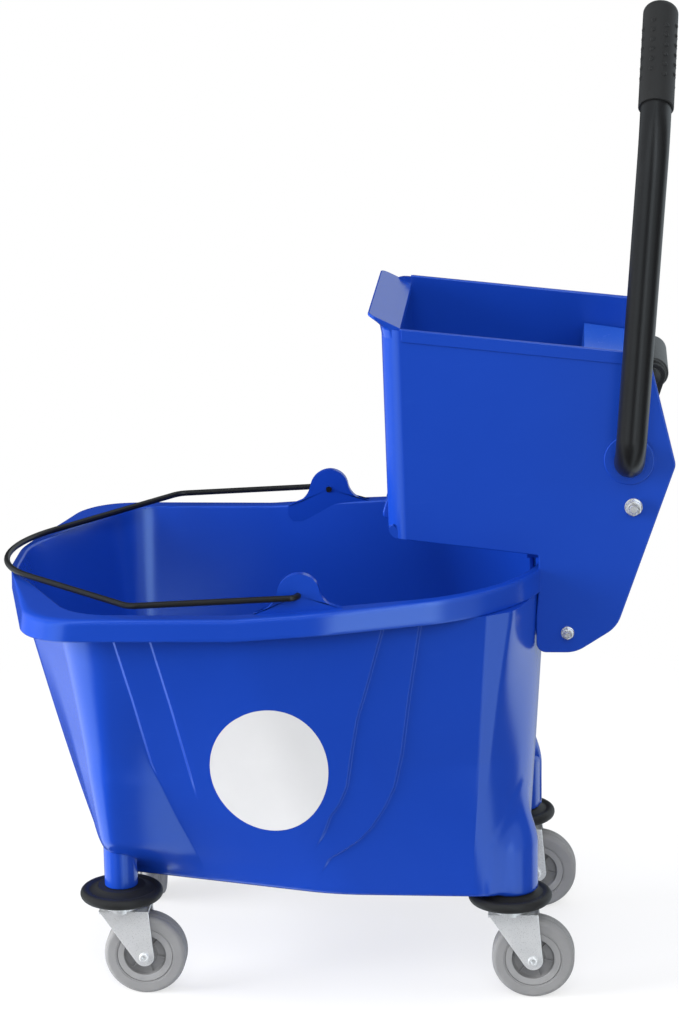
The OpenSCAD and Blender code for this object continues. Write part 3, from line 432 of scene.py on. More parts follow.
def sampleLine(line, z):        # fixed count of points, with columns kept on the moulded lines
    form = bucketForm
    lengths = [0.0]
    for a, b in zip(line, line[1:]):
        lengths.append(lengths[-1] + (b - a).length)

    def lengthAt(x):
        for i in range(1, len(line)):
            if line[i].x >= x:
                gap = line[i].x - line[i - 1].x
                return mix(lengths[i - 1], lengths[i], (x - line[i - 1].x) / gap if gap > 1e-9 else 0)
        return lengths[-1]

    w, soft = form["stepWidth"], form["softWidth"]
    l1, l2 = readTable(form["lineOuter"], z), readTable(form["lineInner"], z)
    a1, b1 = readTable(form["curveInner"], z), readTable(form["curveOuter"], z)
    f1, f2 = readTable(form["facetLeft"], z), readTable(form["facetRight"], z)
    if b1 - a1 < 2 * soft:
        b1 = a1 + 2 * soft
    knots = [(0, 0)] + [(lengthAt(x), n) for x, n in (
        (l1 - w / 2, 70), (l1 + w / 2, 5), (l2 - w / 2, 10), (l2 + w / 2, 5), (a1 - soft / 2, 34), (a1 + soft / 2, 8),
        (b1 - soft / 2, 8), (b1 + soft / 2, 8), (f1, 20), (f2, 6))] + [(lengths[-1], 60)]
    points, j = [], 1
    for (s0, _), (s1, n) in zip(knots, knots[1:]):
        for i in range(n):
            s = mix(s0, s1, i / n)
            while j < len(lengths) - 1 and lengths[j] < s:
                j += 1
            while j > 1 and lengths[j - 1] > s:
                j -= 1
            gap = lengths[j] - lengths[j - 1]
            points.append(line[j - 1].lerp(line[j], (s - lengths[j - 1]) / gap if gap > 1e-9 else 0))
    points.append(line[-1].copy())
    return points


def rimLift(x):
    return bucketForm["rise"] * max(0, min(1, (x - bucketForm["riseFrom"]) / bucketForm["riseSpan"]))


def liftAt(x, z):
    return rimLift(x) * max(0, min(1, (z - bucketForm["liftFrom"]) / bucketForm["liftSpan"]))


def fade(at, span):
    return ease((at - span[0]) / span[1])


def moulded(points, z):         # the raised shield, the flares over the legs and the flat facet on the near half
    form = bucketForm
    w = form["stepWidth"]
    l1, l2 = readTable(form["lineOuter"], z), readTable(form["lineInner"], z)
    a1, b1 = readTable(form["curveInner"], z), readTable(form["curveOuter"], z)
    f1, f2 = readTable(form["facetLeft"], z), readTable(form["facetRight"], z)
    fadeOuter, fadeInner = fade(z, form["outerFade"]), fade(z, form["innerFade"])
    fadeLeft, fadeSecond = fade(z, form["leftFade"]), fade(z, form["secondFade"])
    soft, blend = form["softWidth"], form["columnBlend"]
    flare = max(0, (form["flareTop"] - z) / form["flareSpan"]) ** 1.6 * form["legFlare"] * fade(z, form["flareFade"])
    column = form["columnR"] * (1 - fade(z, form["columnFade"]))        # the rear leg runs up into the wall
    legX, legY = corners["rear_left"]

    def yAt(x):
        for p, q in zip(points, points[1:]):
            if p.x <= x <= q.x and q.x > p.x:
                return mix(p.y, q.y, (x - p.x) / (q.x - p.x))
        return points[-1].y

    y0 = yAt(form["flatX"])
    y1 = min(yAt(f1), y0 + form["flatTurn"] * (f1 - form["flatX"]))
    y2 = min(yAt(f2), y1 + form["facetTurn"] * (f2 - f1))
    swell, back = y2 - yAt(f2), points[-1].x
    shaped = []
    for p in points:
        x, y = p.x, p.y
        left = mix(fade(-y, form["sideFade"]), ease((x - l1 + w / 2) / w), fadeLeft)
        out = form["outerStep"] * fadeOuter * left * ease((b1 + soft / 2 - x) / soft)
        left = mix(left, ease((x - l2 + w / 2) / w), fadeSecond)
        out += form["innerStep"] * fadeInner * left * ease((a1 + soft / 2 - x) / soft)
        if form["flatX"] < x <= f1:
            y = mix(y0, y1, (x - form["flatX"]) / (f1 - form["flatX"]))
        elif f1 < x < f2 and y < -60:
            y = mix(y1, y2, (x - f1) / (f2 - f1))
        elif x >= f2:
            y += swell * ease((back - x) / (back - f2))
        reach = max(0, min(1, (l1 - x) / (l1 - form["flareEnd"])))
        push = flare * (1 - (1 - reach) ** 1.5) * fade(-y, form["sideFade"])
        y -= push + out
        away = Vector((x - legX, y - legY))
        if column > 1 and away.length < column + blend and away.y < blend:
            gap = math.hypot(away.length - column, form["columnSoft"])
            clear = 0.5 * (away.length + column + gap)
            away *= mix(away.length, clear, ease((blend - away.y) / blend)) / away.length
            x, y = legX + away.x, legY + away.y
        shaped.append(Vector((x, y)))
    return shaped


def ringPoints(z, grow, outer):
    form = bucketForm
    share = (z - form["baseZ"]) / (form["rimZ"] - form["baseZ"])
    near, radii = planCorners(share, min(grow, 0))
    points = sampleLine(nearLine(near, radii), z)
    if outer:
        points = moulded(points, z)
    if grow > 0:
        flange = [Vector((x, -y)) for x, y, _ in form["flange"]]
        edge = sampleLine(nearLine(flange, [r for _, _, r in form["flange"]]), z)
        points = [p.lerp(q, grow) for p, q in zip(points, edge)]
    both = points + [Vector((p.x, -p.y)) for p in reversed(points[1:-1])]
    return [mm(p.x, p.y, z + liftAt(p.x, z)) for p in both]


earForm = {"x": -3, "y": 184.05, "topR": 19, "filletR": 22, "rise": 15, "thick": 7, "holeR": 2.9, "holeZ": 405.63,
           "foot": 14, "shoulder": 8, "edge": 1.1}


def addEars(bm):                # a round top on two fillets, with the bail's hole
    form, rim = earForm, bucketForm["rimZ"]
    middle, top, fillet, rise = form["x"], form["topR"], form["filletR"], form["rise"]
    half = math.sqrt((top + fillet) ** 2 - (rise - fillet) ** 2)
    turn = math.degrees(math.atan2(rise - fillet, half))
    slope = arcRows(half, fillet, fillet, -90, -180 - turn, 14) + arcRows(0, rise, top, -turn, 90, 16)[1:]
    bell = [Vector((middle - dx, rim + rimLift(middle - dx) + dz)) for dx, dz in slope]
    bell += [Vector((middle + dx, rim + rimLift(middle + dx) + dz)) for dx, dz in reversed(slope[:-1])]
    foot = [Vector((mix(half, -half, i / 20) + middle, rim - form["foot"])) for i in range(1, 20)]
    shoulder = rim - form["shoulder"]
    outline = bell + [Vector((middle + half, shoulder))] + foot + [Vector((middle - half, shoulder))]
    hole = []
    for p in outline:
        a = math.atan2(p.y - form["holeZ"], p.x - middle)
        hole.append(Vector((middle + form["holeR"] * math.cos(a), form["holeZ"] + form["holeR"] * math.sin(a))))
    for side in (-1, 1):
        y = side * form["y"] - form["thick"] / 2
        outer = [bm.verts.new(mm(p.x, y, p.y)) for p in outline]
        inner = [bm.verts.new(mm(p.x, y, p.y)) for p in hole]
        edges = [bm.edges.new((a, b)) for loop in (outer, inner) for a, b in zip(loop, loop[1:] + loop[:1])]
        faces = bmesh.ops.bridge_loops(bm, edges=edges)["faces"]
        raised = newVerts(bmesh.ops.extrude_face_region(bm, geom=faces))
        bmesh.ops.translate(bm, verts=raised, vec=Vector((0, form["thick"] / 1000, 0)))
        skin = facesOf(outer + inner + raised)
        bmesh.ops.recalc_face_normals(bm, faces=skin)
        rims = [e for e in edgesOf(skin) if len(e.link_faces) == 2 and e.calc_face_angle(0) > math.radians(60)]
        softenEdges(bm, rims, form["edge"], 4)


def makeBucket():
    form = bucketForm
    base, rim, skirt, floorZ, wall = (form[k] for k in ("baseZ", "rimZ", "skirtZ", "floorZ", "wall"))
    low, top, lip, bowl = (form[k] for k in ("baseRound", "rimRound", "lipRound", "floorRound"))
    rows, innerRows, taper = form["rows"], form["innerRows"], form["skirtTaper"]
    quarter = [math.radians(15 * i) for i in range(7)]
    lipQuarter = [math.radians(22.5 * i) for i in range(5)]
    # each row is a level, how far out it goes (below 0 in mm, above 0 a share of the flange), and if it is moulded
    section = [(base + low * (1 - math.cos(a)), -low * (1 - math.sin(a)), True) for a in quarter]
    section += [(mix(base + low, skirt, i / rows), 0, True) for i in range(1, rows + 1)]
    section += [(skirt, 0.25, False), (skirt, 0.90, False), (skirt + 0.5, 0.975, False), (skirt + 1.5, 1.0, False)]
    section += [(mix(skirt + 2, rim - top, i / 6), 1.0 - taper * i / 6, False) for i in range(1, 7)]
    section += [(rim - top * (1 - math.sin(a)), 1.0 - taper - form["rimDraw"] * (1 - math.cos(a)), False)
                for a in quarter[1:]]
    section += [(rim, 0.4, False), (rim, 0.2, False), (rim, 0.0, False)]
    section += [(rim - lip * (1 - math.cos(a)), -wall + lip * (1 - math.sin(a)), False) for a in lipQuarter]
    section += [(mix(rim - lip, floorZ + bowl, i / innerRows), -wall, False) for i in range(1, innerRows + 1)]
    section += [(floorZ + bowl * (1 - math.sin(a)), -wall - bowl * (1 - math.cos(a)), False) for a in quarter[1:]]
    bm = bmesh.new()
    loft(bm, [ringPoints(*row) for row in section])

    foot, legTop, bore, edge, dome = (form[k] for k in ("legZ", "legTop", "legBore", "legEdge", "legDome"))
    for name, (x, y) in corners.items():              # legs, with a domed end inside
        r = form["legR"][name]
        profile = [(bore, legTop), (bore, foot), (r - edge, foot)]
        profile += arcRows(r - edge, foot + edge, edge, -90, 0, 4)
        profile += [(r, legTop)] + arcRows(r - dome, legTop + 1, dome, 0, 90, 6) + [(0, legTop + 1 + dome)]
        spinShape(bm, profile, mm(x, y, 0), (0, 0, 1), 40)
    addEars(bm)
    addPiece("bucketShell", bm, "bucket", ["bucket"], bluePlastic, sharp=30)


makeBucket()
print("bucket made")


discForm = {"x": -35, "z": 233.5, "halfX": 54, "halfZ": 61.5, "proud": 0.12}


def makeDisc():                 # plain blank print on both flat sides of the shield
    form, wall = discForm, bucketForm
    out = wall["outerStep"] + wall["innerStep"] + form["proud"]
    for side, label in ((-1, "near"), (1, "far")):
        bm = bmesh.new()
        disc = bmesh.ops.create_grid(bm, x_segments=36, y_segments=36, size=1.0)["verts"]
        for v in disc:          # square grid pressed into a circle
            u = v.co.x * math.sqrt(max(0, 1 - v.co.y ** 2 / 2))
            w = v.co.y * math.sqrt(max(0, 1 - v.co.x ** 2 / 2))
            x, z = form["x"] + form["halfX"] * u, form["z"] + form["halfZ"] * w
            near, radii = planCorners((z - wall["baseZ"]) / (wall["rimZ"] - wall["baseZ"]), 0)
            points = nearLine(near, radii)
            y = min(mix(p.y, q.y, (x - p.x) / (q.x - p.x)) for p, q in zip(points, points[1:])
                    if p.x <= x <= q.x and q.x > p.x)
            v.co = mm(x, -side * (y - out), z + liftAt(x, z))
        addPiece("blankDisc_" + label, bm, "bucket", [], whiteDisc)


makeDisc()


# bail

bailForm = {"pinY": 179.05, "armY": 194.55, "radius": 2.8, "reach": 289, "armReach": 150, "turn": 47, "bend": 18,
            "hook": 7, "slope": 3.0, "x": -3, "z": 405.625}


def makeBail():
    form = bailForm
    turn = math.radians(form["turn"])
    bow = (form["armReach"] + form["armY"] / math.tan(turn) - form["reach"]) * math.sin(turn) / (1 - math.sin(turn))
    tangent = form["bend"] * math.tan(turn / 2)
    pin = form["armY"] - form["pinY"] - form["hook"]
    arm = form["armReach"] - form["hook"] - tangent
    slant = (form["armY"] - bow * math.cos(turn)) / math.sin(turn) - tangent
    steps = [(pin, form["hook"], 90), (arm, form["bend"], form["turn"]), (slant, bow, 90 - form["turn"])]
    half = barPath(steps)       # x runs out from the ear, y runs to the tip
    slope = math.radians(form["slope"])

    def put(p, side):
        along = -p.y
        return mm(form["x"] + along * math.cos(slope), side * (form["pinY"] + p.x),
                  form["z"] + along * math.sin(slope))

    path = [put(p, -1) for p in half] + [put(p, 1) for p in reversed(half[:-1])]
    bm = bmesh.new()
    sweepTube(bm, path, form["radius"] / 1000, 16)
    addPiece("bailWire", bm, "bail", ["bail_handle"], blackPaint)


makeBail()
print("bail made")


# casters

casterForm = {"wheelR": 38.1, "half": 12, "trail": 21, "axleZ": 38.1, "crownZ": 80.2, "crownT": 3.0, "discZ": 91.2,
              "forkIn": 14.0, "forkOut": 16.5, "forkFront": -20, "forkBack": 26, "footR": 9.0, "spokes": 6, "balls": 16,
              "turned": {"front_right": 105}}         # degrees, the other three trail straight


def makeCaster(name, x, y):
    form = casterForm
    half, discZ, wheelR = form["half"], form["discZ"], form["wheelR"]
    crownZ, crownTop = form["crownZ"], form["crownZ"] + form["crownT"]
    centre, axle = mm(x, y, 0), mm(x + form["trail"], y, form["axleZ"])
    turned = Matrix.Rotation(math.radians(form["turned"].get(name, 0)), 3, "Z")
    up, across = (0, 0, 1), (0, 1, 0)

    def atCaster(px, py, pz):
        return mm(x + px, y + py, pz)

    def addTurned(label, bm, body, node, finish, sharp=38):
        bmesh.ops.rotate(bm, verts=bm.verts, cent=centre, matrix=turned)
        addPiece(label + name, bm, body + name, [node + name], finish, sharp=sharp)

    bm = bmesh.new()            # rubber saucer under the leg
    profile = [(5.6, 0), (24, 0), (31.5, 1.0)] + arcRows(33.2, 5.6, 5.3, -70, 62, 10)
    profile += [(33.0, 10.5), (31.2, 9.5), (29.5, 9.35), (26, 10.6), (23.5, 11.9), (22.6, 12.7), (21.4, 13.0),
                (5.6, 13.0), (5.6, 0)]
    spinShape(bm, [(r, h + discZ) for r, h in profile], centre, up, 64)
    addPiece("bumperSaucer_" + name, bm, "bucket", ["bumper_disc_" + name], blackRubber)

    bm = bmesh.new()            # pressed fork: two tapering legs under a flat crown
    foot, r = Vector((form["trail"], form["axleZ"])), form["footR"]
    front, back = Vector((form["forkFront"], crownTop)), Vector((form["forkBack"], crownTop))
    ends = []
    for p, sign in ((back, -1), (front, 1)):
        away = p - foot
        ends.append(math.atan2(away.y, away.x) + sign * math.acos(r / away.length))
    sweep = [mix(ends[0], ends[1] - 2 * math.pi, i / 18) for i in range(19)]
    outline = [front, back] + [foot + Vector((math.cos(a), math.sin(a))) * r for a in sweep]
    for y0, y1 in ((-form["forkOut"], -form["forkIn"]), (form["forkIn"], form["forkOut"])):
        slab(bm, outline, atCaster, y0, y1, 0.5, 2)
    crown = [(5.2, 0), (15.5, 0), (17.5, 1.0), (17.5, 2.4), (17.0, form["crownT"]), (5.2, form["crownT"]), (5.2, 0)]
    spinShape(bm, [(rad, crownZ + h) for rad, h in crown], centre, up, 40)
    bridge = [Vector((form["forkFront"], crownZ)), Vector((form["forkBack"], crownZ)), back, front]
    slab(bm, bridge, atCaster, -15.6, 15.6, 0.6, 2)
    addTurned("forkPressing_", bm, "caster_", "caster_fork_", zincPlate)

    bm = bmesh.new()            # tyre with shoulder, side face and fine tread grooves
    rows = [(26.0, half - 0.4), (27.2, half - 0.4), (27.5, half), (31.5, half)]
    rows += arcRows(wheelR - 4.6, half - 4.6, 4.6, 84, 8, 8)
    for h in (4.6, 2.4):
        rows += [(wheelR, h + 0.55), (wheelR - 0.7, h + 0.25), (wheelR - 0.7, h - 0.25), (wheelR, h - 0.55)]
    spinShape(bm, bothEnds(rows) + rows[:1], axle, across, 72)
    addTurned("tyre_", bm, "wheel_", "wheel_tyre_", greyTread, sharp=42)

    bm = bmesh.new()            # hub: pale ring, deep dished web with spokes, boss
    ring = [(25.9, half - 1.4), (25.4, half - 0.6), (20.2, half - 0.6), (19.6, half - 1.0)]
    dish = [(19.3, half - 2.0), (18.6, 6.6), (17.6, 5.8), (11.5, 5.8), (10.4, 6.8), (10.0, 12.0), (9.4, 12.9),
            (3.3, 12.9)]
    spinShape(bm, [(25.9, -half + 1.2), (25.9, half - 1.2)], axle, across, 72, 0)
    for sign in (-1, 1):
        spinShape(bm, [(rad, sign * h) for rad, h in ring], axle, across, 72, 0)
        spinShape(bm, [(rad, sign * h) for rad, h in ring[-1:] + dish], axle, across, 72, 1)
    spinShape(bm, [(3.3, -12.9), (3.3, 12.9)], axle, across, 72, 1)
    for i in range(form["spokes"]):                   # spokes across the dish
        turn = Matrix.Rotation(2 * math.pi * i / form["spokes"] + 0.2, 3, "Y")
        for sign in (-1, 1):
            spoke = bmesh.ops.create_cube(bm, size=1.0)["verts"]
            bmesh.ops.scale(bm, verts=spoke, vec=(0.0088, 0.0026, 0.0012))
            bmesh.ops.translate(bm, verts=spoke, vec=(0.0144, sign * 0.0062, 0))
            bmesh.ops.rotate(bm, verts=spoke, cent=(0, 0, 0), matrix=turn)
            bmesh.ops.translate(bm, verts=spoke, vec=axle)
            for face in facesOf(spoke):
                face.material_index = 1
    addTurned("hub_", bm, "wheel_", "wheel_hub_", [greyHub, darkHub])

    bm = bmesh.new()            # axle with a round socket head on the near side
    profile = [(0, 16.0), (3.2, 16.0), (3.2, -16.5), (4.7, -16.5), (4.87, -16.9), (4.7, -18.2), (4.1, -18.85),
               (3.3, -19.0), (2.6, -19.0), (2.35, -18.8), (2.3, -17.2), (1.2, -17.0), (0.9, -17.6), (0, -17.6)]
    spinShape(bm, profile, axle, across, 36)
    addTurned("axleBolt_", bm, "caster_", "axle_bolt_", zincPlate)

    bm = bmesh.new()            # hex nut and thread end on the far side
    spinShape(bm, [(0, 23.4), (2.6, 23.4), (3.2, 22.8), (3.2, 16.2)], axle, across, 24)
    addHexNut(bm, axle + Vector((0, 0.019, 0)), 6.1, 5.0, 0.7)
    addTurned("axleNut_", bm, "caster_", "axle_nut_", zincPlate)

    bm = bmesh.new()            # stem, race cup and king pin
    profile = [(0, 149), (4.8, 149), (5.5, 148.2), (5.5, discZ), (20.5, discZ), (21.6, discZ - 0.6),
               (22, discZ - 1.6), (22, discZ - 3.6), (21.2, discZ - 4.5), (5, discZ - 4.5), (5, 79.9), (7.4, 79.9),
               (8, 79.3), (8, 78.6), (7.2, 78.0), (0, 78.0)]
    spinShape(bm, profile, centre, up, 48)
    addPiece("stemTurning_" + name, bm, "bucket", ["caster_stem_" + name], zincPlate)

    bm = bmesh.new()            # ball race: cage ring and a row of balls
    spinShape(bm, [(13, 83.6), (13, 86.6), (19, 86.6), (19, 83.6), (13, 83.6)], centre, up, 48)
    for i in range(form["balls"]):
        a = 2 * math.pi * i / form["balls"]
        ball = bmesh.ops.create_icosphere(bm, subdivisions=2, radius=0.0014)["verts"]
        bmesh.ops.translate(bm, verts=ball, vec=atCaster(18.2 * math.cos(a), 18.2 * math.sin(a), 85.1))
    addPiece("ballRace_" + name, bm, "bucket", ["swivel_bearing_" + name], zincPlate)


for cornerName, (stemX, stemY) in corners.items():
    makeCaster(cornerName, stemX, stemY)
print("casters made")


# wringer hopper: two side plates, a rounded front, floor, flared lip and the hook over the end wall

hopperForm = {
    "reach": 146.5, "top": 221, "low": 28, "tilt": 6.0, "lean": 1.14, "fall": 6.9, "halfWidth": 104, "side": 4,
    "cornerR": 17, "hookEdge": -7.4, "hookLow": -20, "heelEdge": -9.6, "heelHigh": -46, "drop": 80, "heel": 26,
    "lowAt": (63, -56), "tip": (115, 94.5), "tipBack": 24.5, "pivot": (73.5, 99.5), "farRise": 8, "hinge": (14, 23),
    "bend": -129, "lipLength": 29, "lipRise": 14.5, "lipCorner": 7, "lipHalf": 102.5, "underR": 9, "floorEnd": -12,
    "slots": 5, "slotStart": 22, "slotPitch": 30, "slotWidth": 8, "slotLength": 84,
    "seat": (-18.5, 5.5), "seatHalf": 72, "hookTop": 4,
    "innerHook": (-16.5, -12.5, -55), "innerHalf": 66, "outerHook": (1.5, 5.5, -72),    # x, x, lowest
    "bandHeight": 11, "bandProud": 1.6, "bandEnds": (-128, 75), "bossBore": 12.2, "bossR": 22.5, "footZ": 46,
}


def rimLine(x):
    return hopperForm["top"] - (x + hopperForm["reach"]) * math.tan(math.radians(hopperForm["tilt"]))


def floorLine(x):
    return hopperForm["low"] - (x + hopperForm["reach"]) * math.tan(math.radians(hopperForm["fall"]))


def frontLine(z):
    return -hopperForm["reach"] + (hopperForm["top"] - z) * math.tan(math.radians(hopperForm["lean"]))


def onRim(x, up=0):
    return Vector((x, rimLine(x) + up))


def onFloor(x, up=0):
    return Vector((x, floorLine(x) + up))


def addSidePlates(bm):
    form = hopperForm
    tip, half, t = Vector(form["tip"]), form["halfWidth"], form["side"]
    seamTop, seamLow = frontLine(rimLine(-129.5)) + form["cornerR"], frontLine(26) + form["cornerR"]
    tipEnd = tip.x - form["tipBack"]

    def seam(edge):             # edges that meet the rounded front stay sharp
        return all(abs((v.co.x * 1000 + midX - endX) - frontLine(v.co.z * 1000 - seatZ) - form["cornerR"]) < 0.3
                   for v in edge.verts)

    for y0, y1, rise in ((-half, t - half, 0), (half - t, half, form["farRise"])):
        points = [onRim(seamTop, rise), onFloor(seamLow), onFloor(form["hookEdge"]),
                  Vector((form["hookEdge"], form["hookLow"])), Vector((form["heelEdge"], form["heelHigh"])),
                  Vector((form["heelEdge"], -form["drop"])), Vector((form["heel"], -form["drop"])),
                  Vector(form["lowAt"]), tip - Vector((rise, 0)), Vector((tipEnd - rise, rimLine(tipEnd) + rise))]
        outline = roundedOutline(points, [0, 0, 2, 6, 6, 9, 30, 30, 12, 8], 10)
        slab(bm, outline, atWringer, y0, y1, 1.3, 4, seam)


def addFront(bm):               # front wall with both upright corners, drawn from a grid and thickened
    form = hopperForm
    half, corner, reach, under = form["halfWidth"], form["cornerR"], form["reach"], form["underR"]
    sheet = bmesh.ops.create_grid(bm, x_segments=64, y_segments=24, size=1.0)["verts"]
    arc = math.pi / 2 * corner
    flat = 2 * (half - corner)
    for v in sheet:
        s = (v.co.x + 1) / 2 * (2 * arc + flat)
        if s < arc:
            a = s / corner
            x, y = corner * (1 - math.sin(a)), -half + corner * (1 - math.cos(a))
        elif s > arc + flat:
            a = (2 * arc + flat - s) / corner
            x, y = corner * (1 - math.sin(a)), half - corner * (1 - math.cos(a))
        else:
            x, y = 0.0, -half + corner + s - arc
        low = floorLine(x - reach) + under * (1 - math.sin(math.acos(max(0, min(1, 1 - x / under)))))
        high = rimLine(x - reach) - 1.5
        if s > arc + flat:      # the far corner rounds up to the higher plate
            high += form["farRise"] * math.sqrt(1 - (1 - min(1, (x + 0.4) / 12)) ** 2)
        z = mix(low, high, (v.co.y + 1) / 2)
        v.co = atWringer(frontLine(z) + x, y, z)
    faces = facesOf(sheet)
    bmesh.ops.recalc_face_normals(bm, faces=faces)
    middle = atWringer(-60, 0, 120)
    if sum((f.calc_center_median() - middle).dot(f.normal) for f in faces) < 0:
        bmesh.ops.reverse_faces(bm, faces=faces)
    bmesh.ops.solidify(bm, geom=faces, thickness=form["side"] / 1000)


def addLip(bm):                 # thin flared lip, its outer corners rounded
    form = hopperForm
    half, corner, bend, curve, lipHalf = (form[k] for k in ("halfWidth", "cornerR", "bend", "lipCorner", "lipHalf"))
    across = [-lipHalf + curve * (1 - math.cos(math.radians(7.5 * i))) for i in range(12)]
    across += [-95 + 10 * i for i in range(10)]
    rings = []
    for y in across:
        back = curve - math.sqrt(max(0, curve ** 2 - max(0, abs(y) - lipHalf + curve) ** 2))
        tipX = bend - form["lipLength"] + back
        tipZ = rimLine(bend) + form["lipRise"] * (1 - back / form["lipLength"])
        inset = corner - math.sqrt(corner ** 2 - max(0, abs(y) - half + corner) ** 2)
        wallX = 0.4 - form["reach"] + inset
        profile = [onRim(bend, 0.3), Vector((tipX, tipZ)), Vector((tipX + 0.3, tipZ - 3.2)),
                   Vector((wallX - 2, form["top"] - inset * 0.25)), Vector((wallX, 210)), Vector((wallX + 3, 210)),
                   Vector((bend + 0.5, 212))]
        rings.append([(p, y) for p in roundedOutline(profile, [1, 1.2, 1.2, 9, 0, 0, 1], 6)])
    rings += [[(p, -y) for p, y in row] for row in reversed(rings)]
    before = set(bm.verts)
    loft(bm, [[atWringer(p.x, y, p.y) for p, y in row] for row in rings])
    bmesh.ops.recalc_face_normals(bm, faces=facesOf(v for v in bm.verts if v not in before))


def addFloor(bm):               # floor bars with drain slots between them
    form = hopperForm
    half, t, end = form["halfWidth"], form["side"], form["floorEnd"]
    front = frontLine(form["low"]) + 1
    level = floorLine(front)

    def floorSection(back):     # from the rounded front edge to back
        points = [Vector((front, level + 9)), Vector((front, level)), onFloor(back), onFloor(back, t),
                  Vector((front + t + 6, level + t)), Vector((front + t, level + 12))]
        return roundedOutline(points, [0, form["underR"], 0, 0, 6, 0], 6)

    edges = [-half + 2, half - 2]
    first = -form["slotPitch"] * (form["slots"] - 1) / 2
    for i in range(form["slots"]):
        centre = first + i * form["slotPitch"]
        edges += [centre - form["slotWidth"] / 2, centre + form["slotWidth"] / 2]
    edges.sort()
    slotA = -form["reach"] + form["slotStart"]
    slotB = slotA + form["slotLength"]
    for i, (y0, y1) in enumerate(zip(edges, edges[1:])):
        if i % 2 == 0:
            slab(bm, floorSection(end), atWringer, y0, y1, 0.0)
        else:                   # floor before and behind a slot
            slab(bm, floorSection(slotA), atWringer, y0, y1, 0.0)
            behind = [onFloor(slotB), onFloor(end), onFloor(end, t), onFloor(slotB, t)]
            slab(bm, behind, atWringer, y0, y1, 0.0)


def addHook(bm):                # seat on the end wall, with a tongue inside it and one outside
    form = hopperForm
    half, (back, ahead) = form["halfWidth"], form["seat"]
    seat = [Vector((back, 0)), Vector((ahead, 0)), onFloor(ahead, form["side"]), onFloor(back, form["side"])]
    slab(bm, seat, atWringer, -form["seatHalf"], form["seatHalf"], 0.8, 2)
    for label, reach in (("innerHook", form["innerHalf"]), ("outerHook", half - 2)):
        x0, x1, low = form[label]
        tongue = [Vector((x0, low)), Vector((x1, low)), Vector((x1, form["hookTop"])), Vector((x0, form["hookTop"]))]
        slab(bm, roundedOutline(tongue, [1.6, 1.6, 0, 0], 4), atWringer, -reach, reach, 1.2, 3)


def addBands(bm):               # raised band below the rim, and the boss round the shaft
    form = hopperForm
    half, (x0, x1), tall = form["halfWidth"], form["bandEnds"], form["bandHeight"]
    pivot = atWringer(form["pivot"][0], 0, form["pivot"][1])
    bore, r = form["bossBore"], form["bossR"]
    for side in (-1, 1):
        top = (form["farRise"] if side > 0 else 0) - 0.3
        band = [onRim(x0, top), onRim(x0, top - tall), onRim(x1, top - tall), onRim(x1, top)]
        near, far = sorted((side * (half - 1), side * (half + form["bandProud"])))
        slab(bm, roundedOutline(band, [0.5, 3, 3, 0.5], 4), atWringer, near, far, 0.8, 3)
        boss = [(bore, half - 1), (bore, half + 0.8), (bore + 0.4, half + 1.2), (r - 1, half + 1.2)]
        boss += arcRows(r - 1, half + 0.2, 1.0, 90, 0, 4) + [(r, half - 1)]
        spinShape(bm, [(rad, side * h) for rad, h in boss], pivot, (0, 1, 0), 64)


def makeHopper():
    bm = bmesh.new()
    addSidePlates(bm)
    addFront(bm)
    addLip(bm)
    addFloor(bm)
    addHook(bm)
    addBands(bm)
    z, reach = hopperForm["footZ"], hopperForm["halfWidth"] - 21        # small flared foot low on the front
    heel = frontLine(z)
    foot = [Vector((heel + 2, z + 20)), Vector((heel - 5, z)), Vector((heel - 5, z - 4)), Vector((heel + 2, z - 8))]
    slab(bm, roundedOutline(foot, [0, 4, 2, 0], 5), atWringer, -reach, reach, 1.5, 3)
    addPiece("hopperMoulding", bm, "wringer", ["wringer_hopper"], bluePlastic, sharp=34, clean=False)


makeHopper()
print("hopper made")


# press plate and the works behind it

pressForm = {"rollerArm": 70, "rollerTurn": 72, "shaft": (-126, 111.3), "clipY": 106.0, "rollerHalf": 49,
             "pinHalf": 61, "hingeHalf": 103}


def addTurning(name, profile, centre, steps, body, node, finish):    # turned round an axis along Y
    bm = bmesh.new()
    spinShape(bm, profile, centre, (0, 1, 0), steps)
    addPiece(name, bm, body, [node], finish)


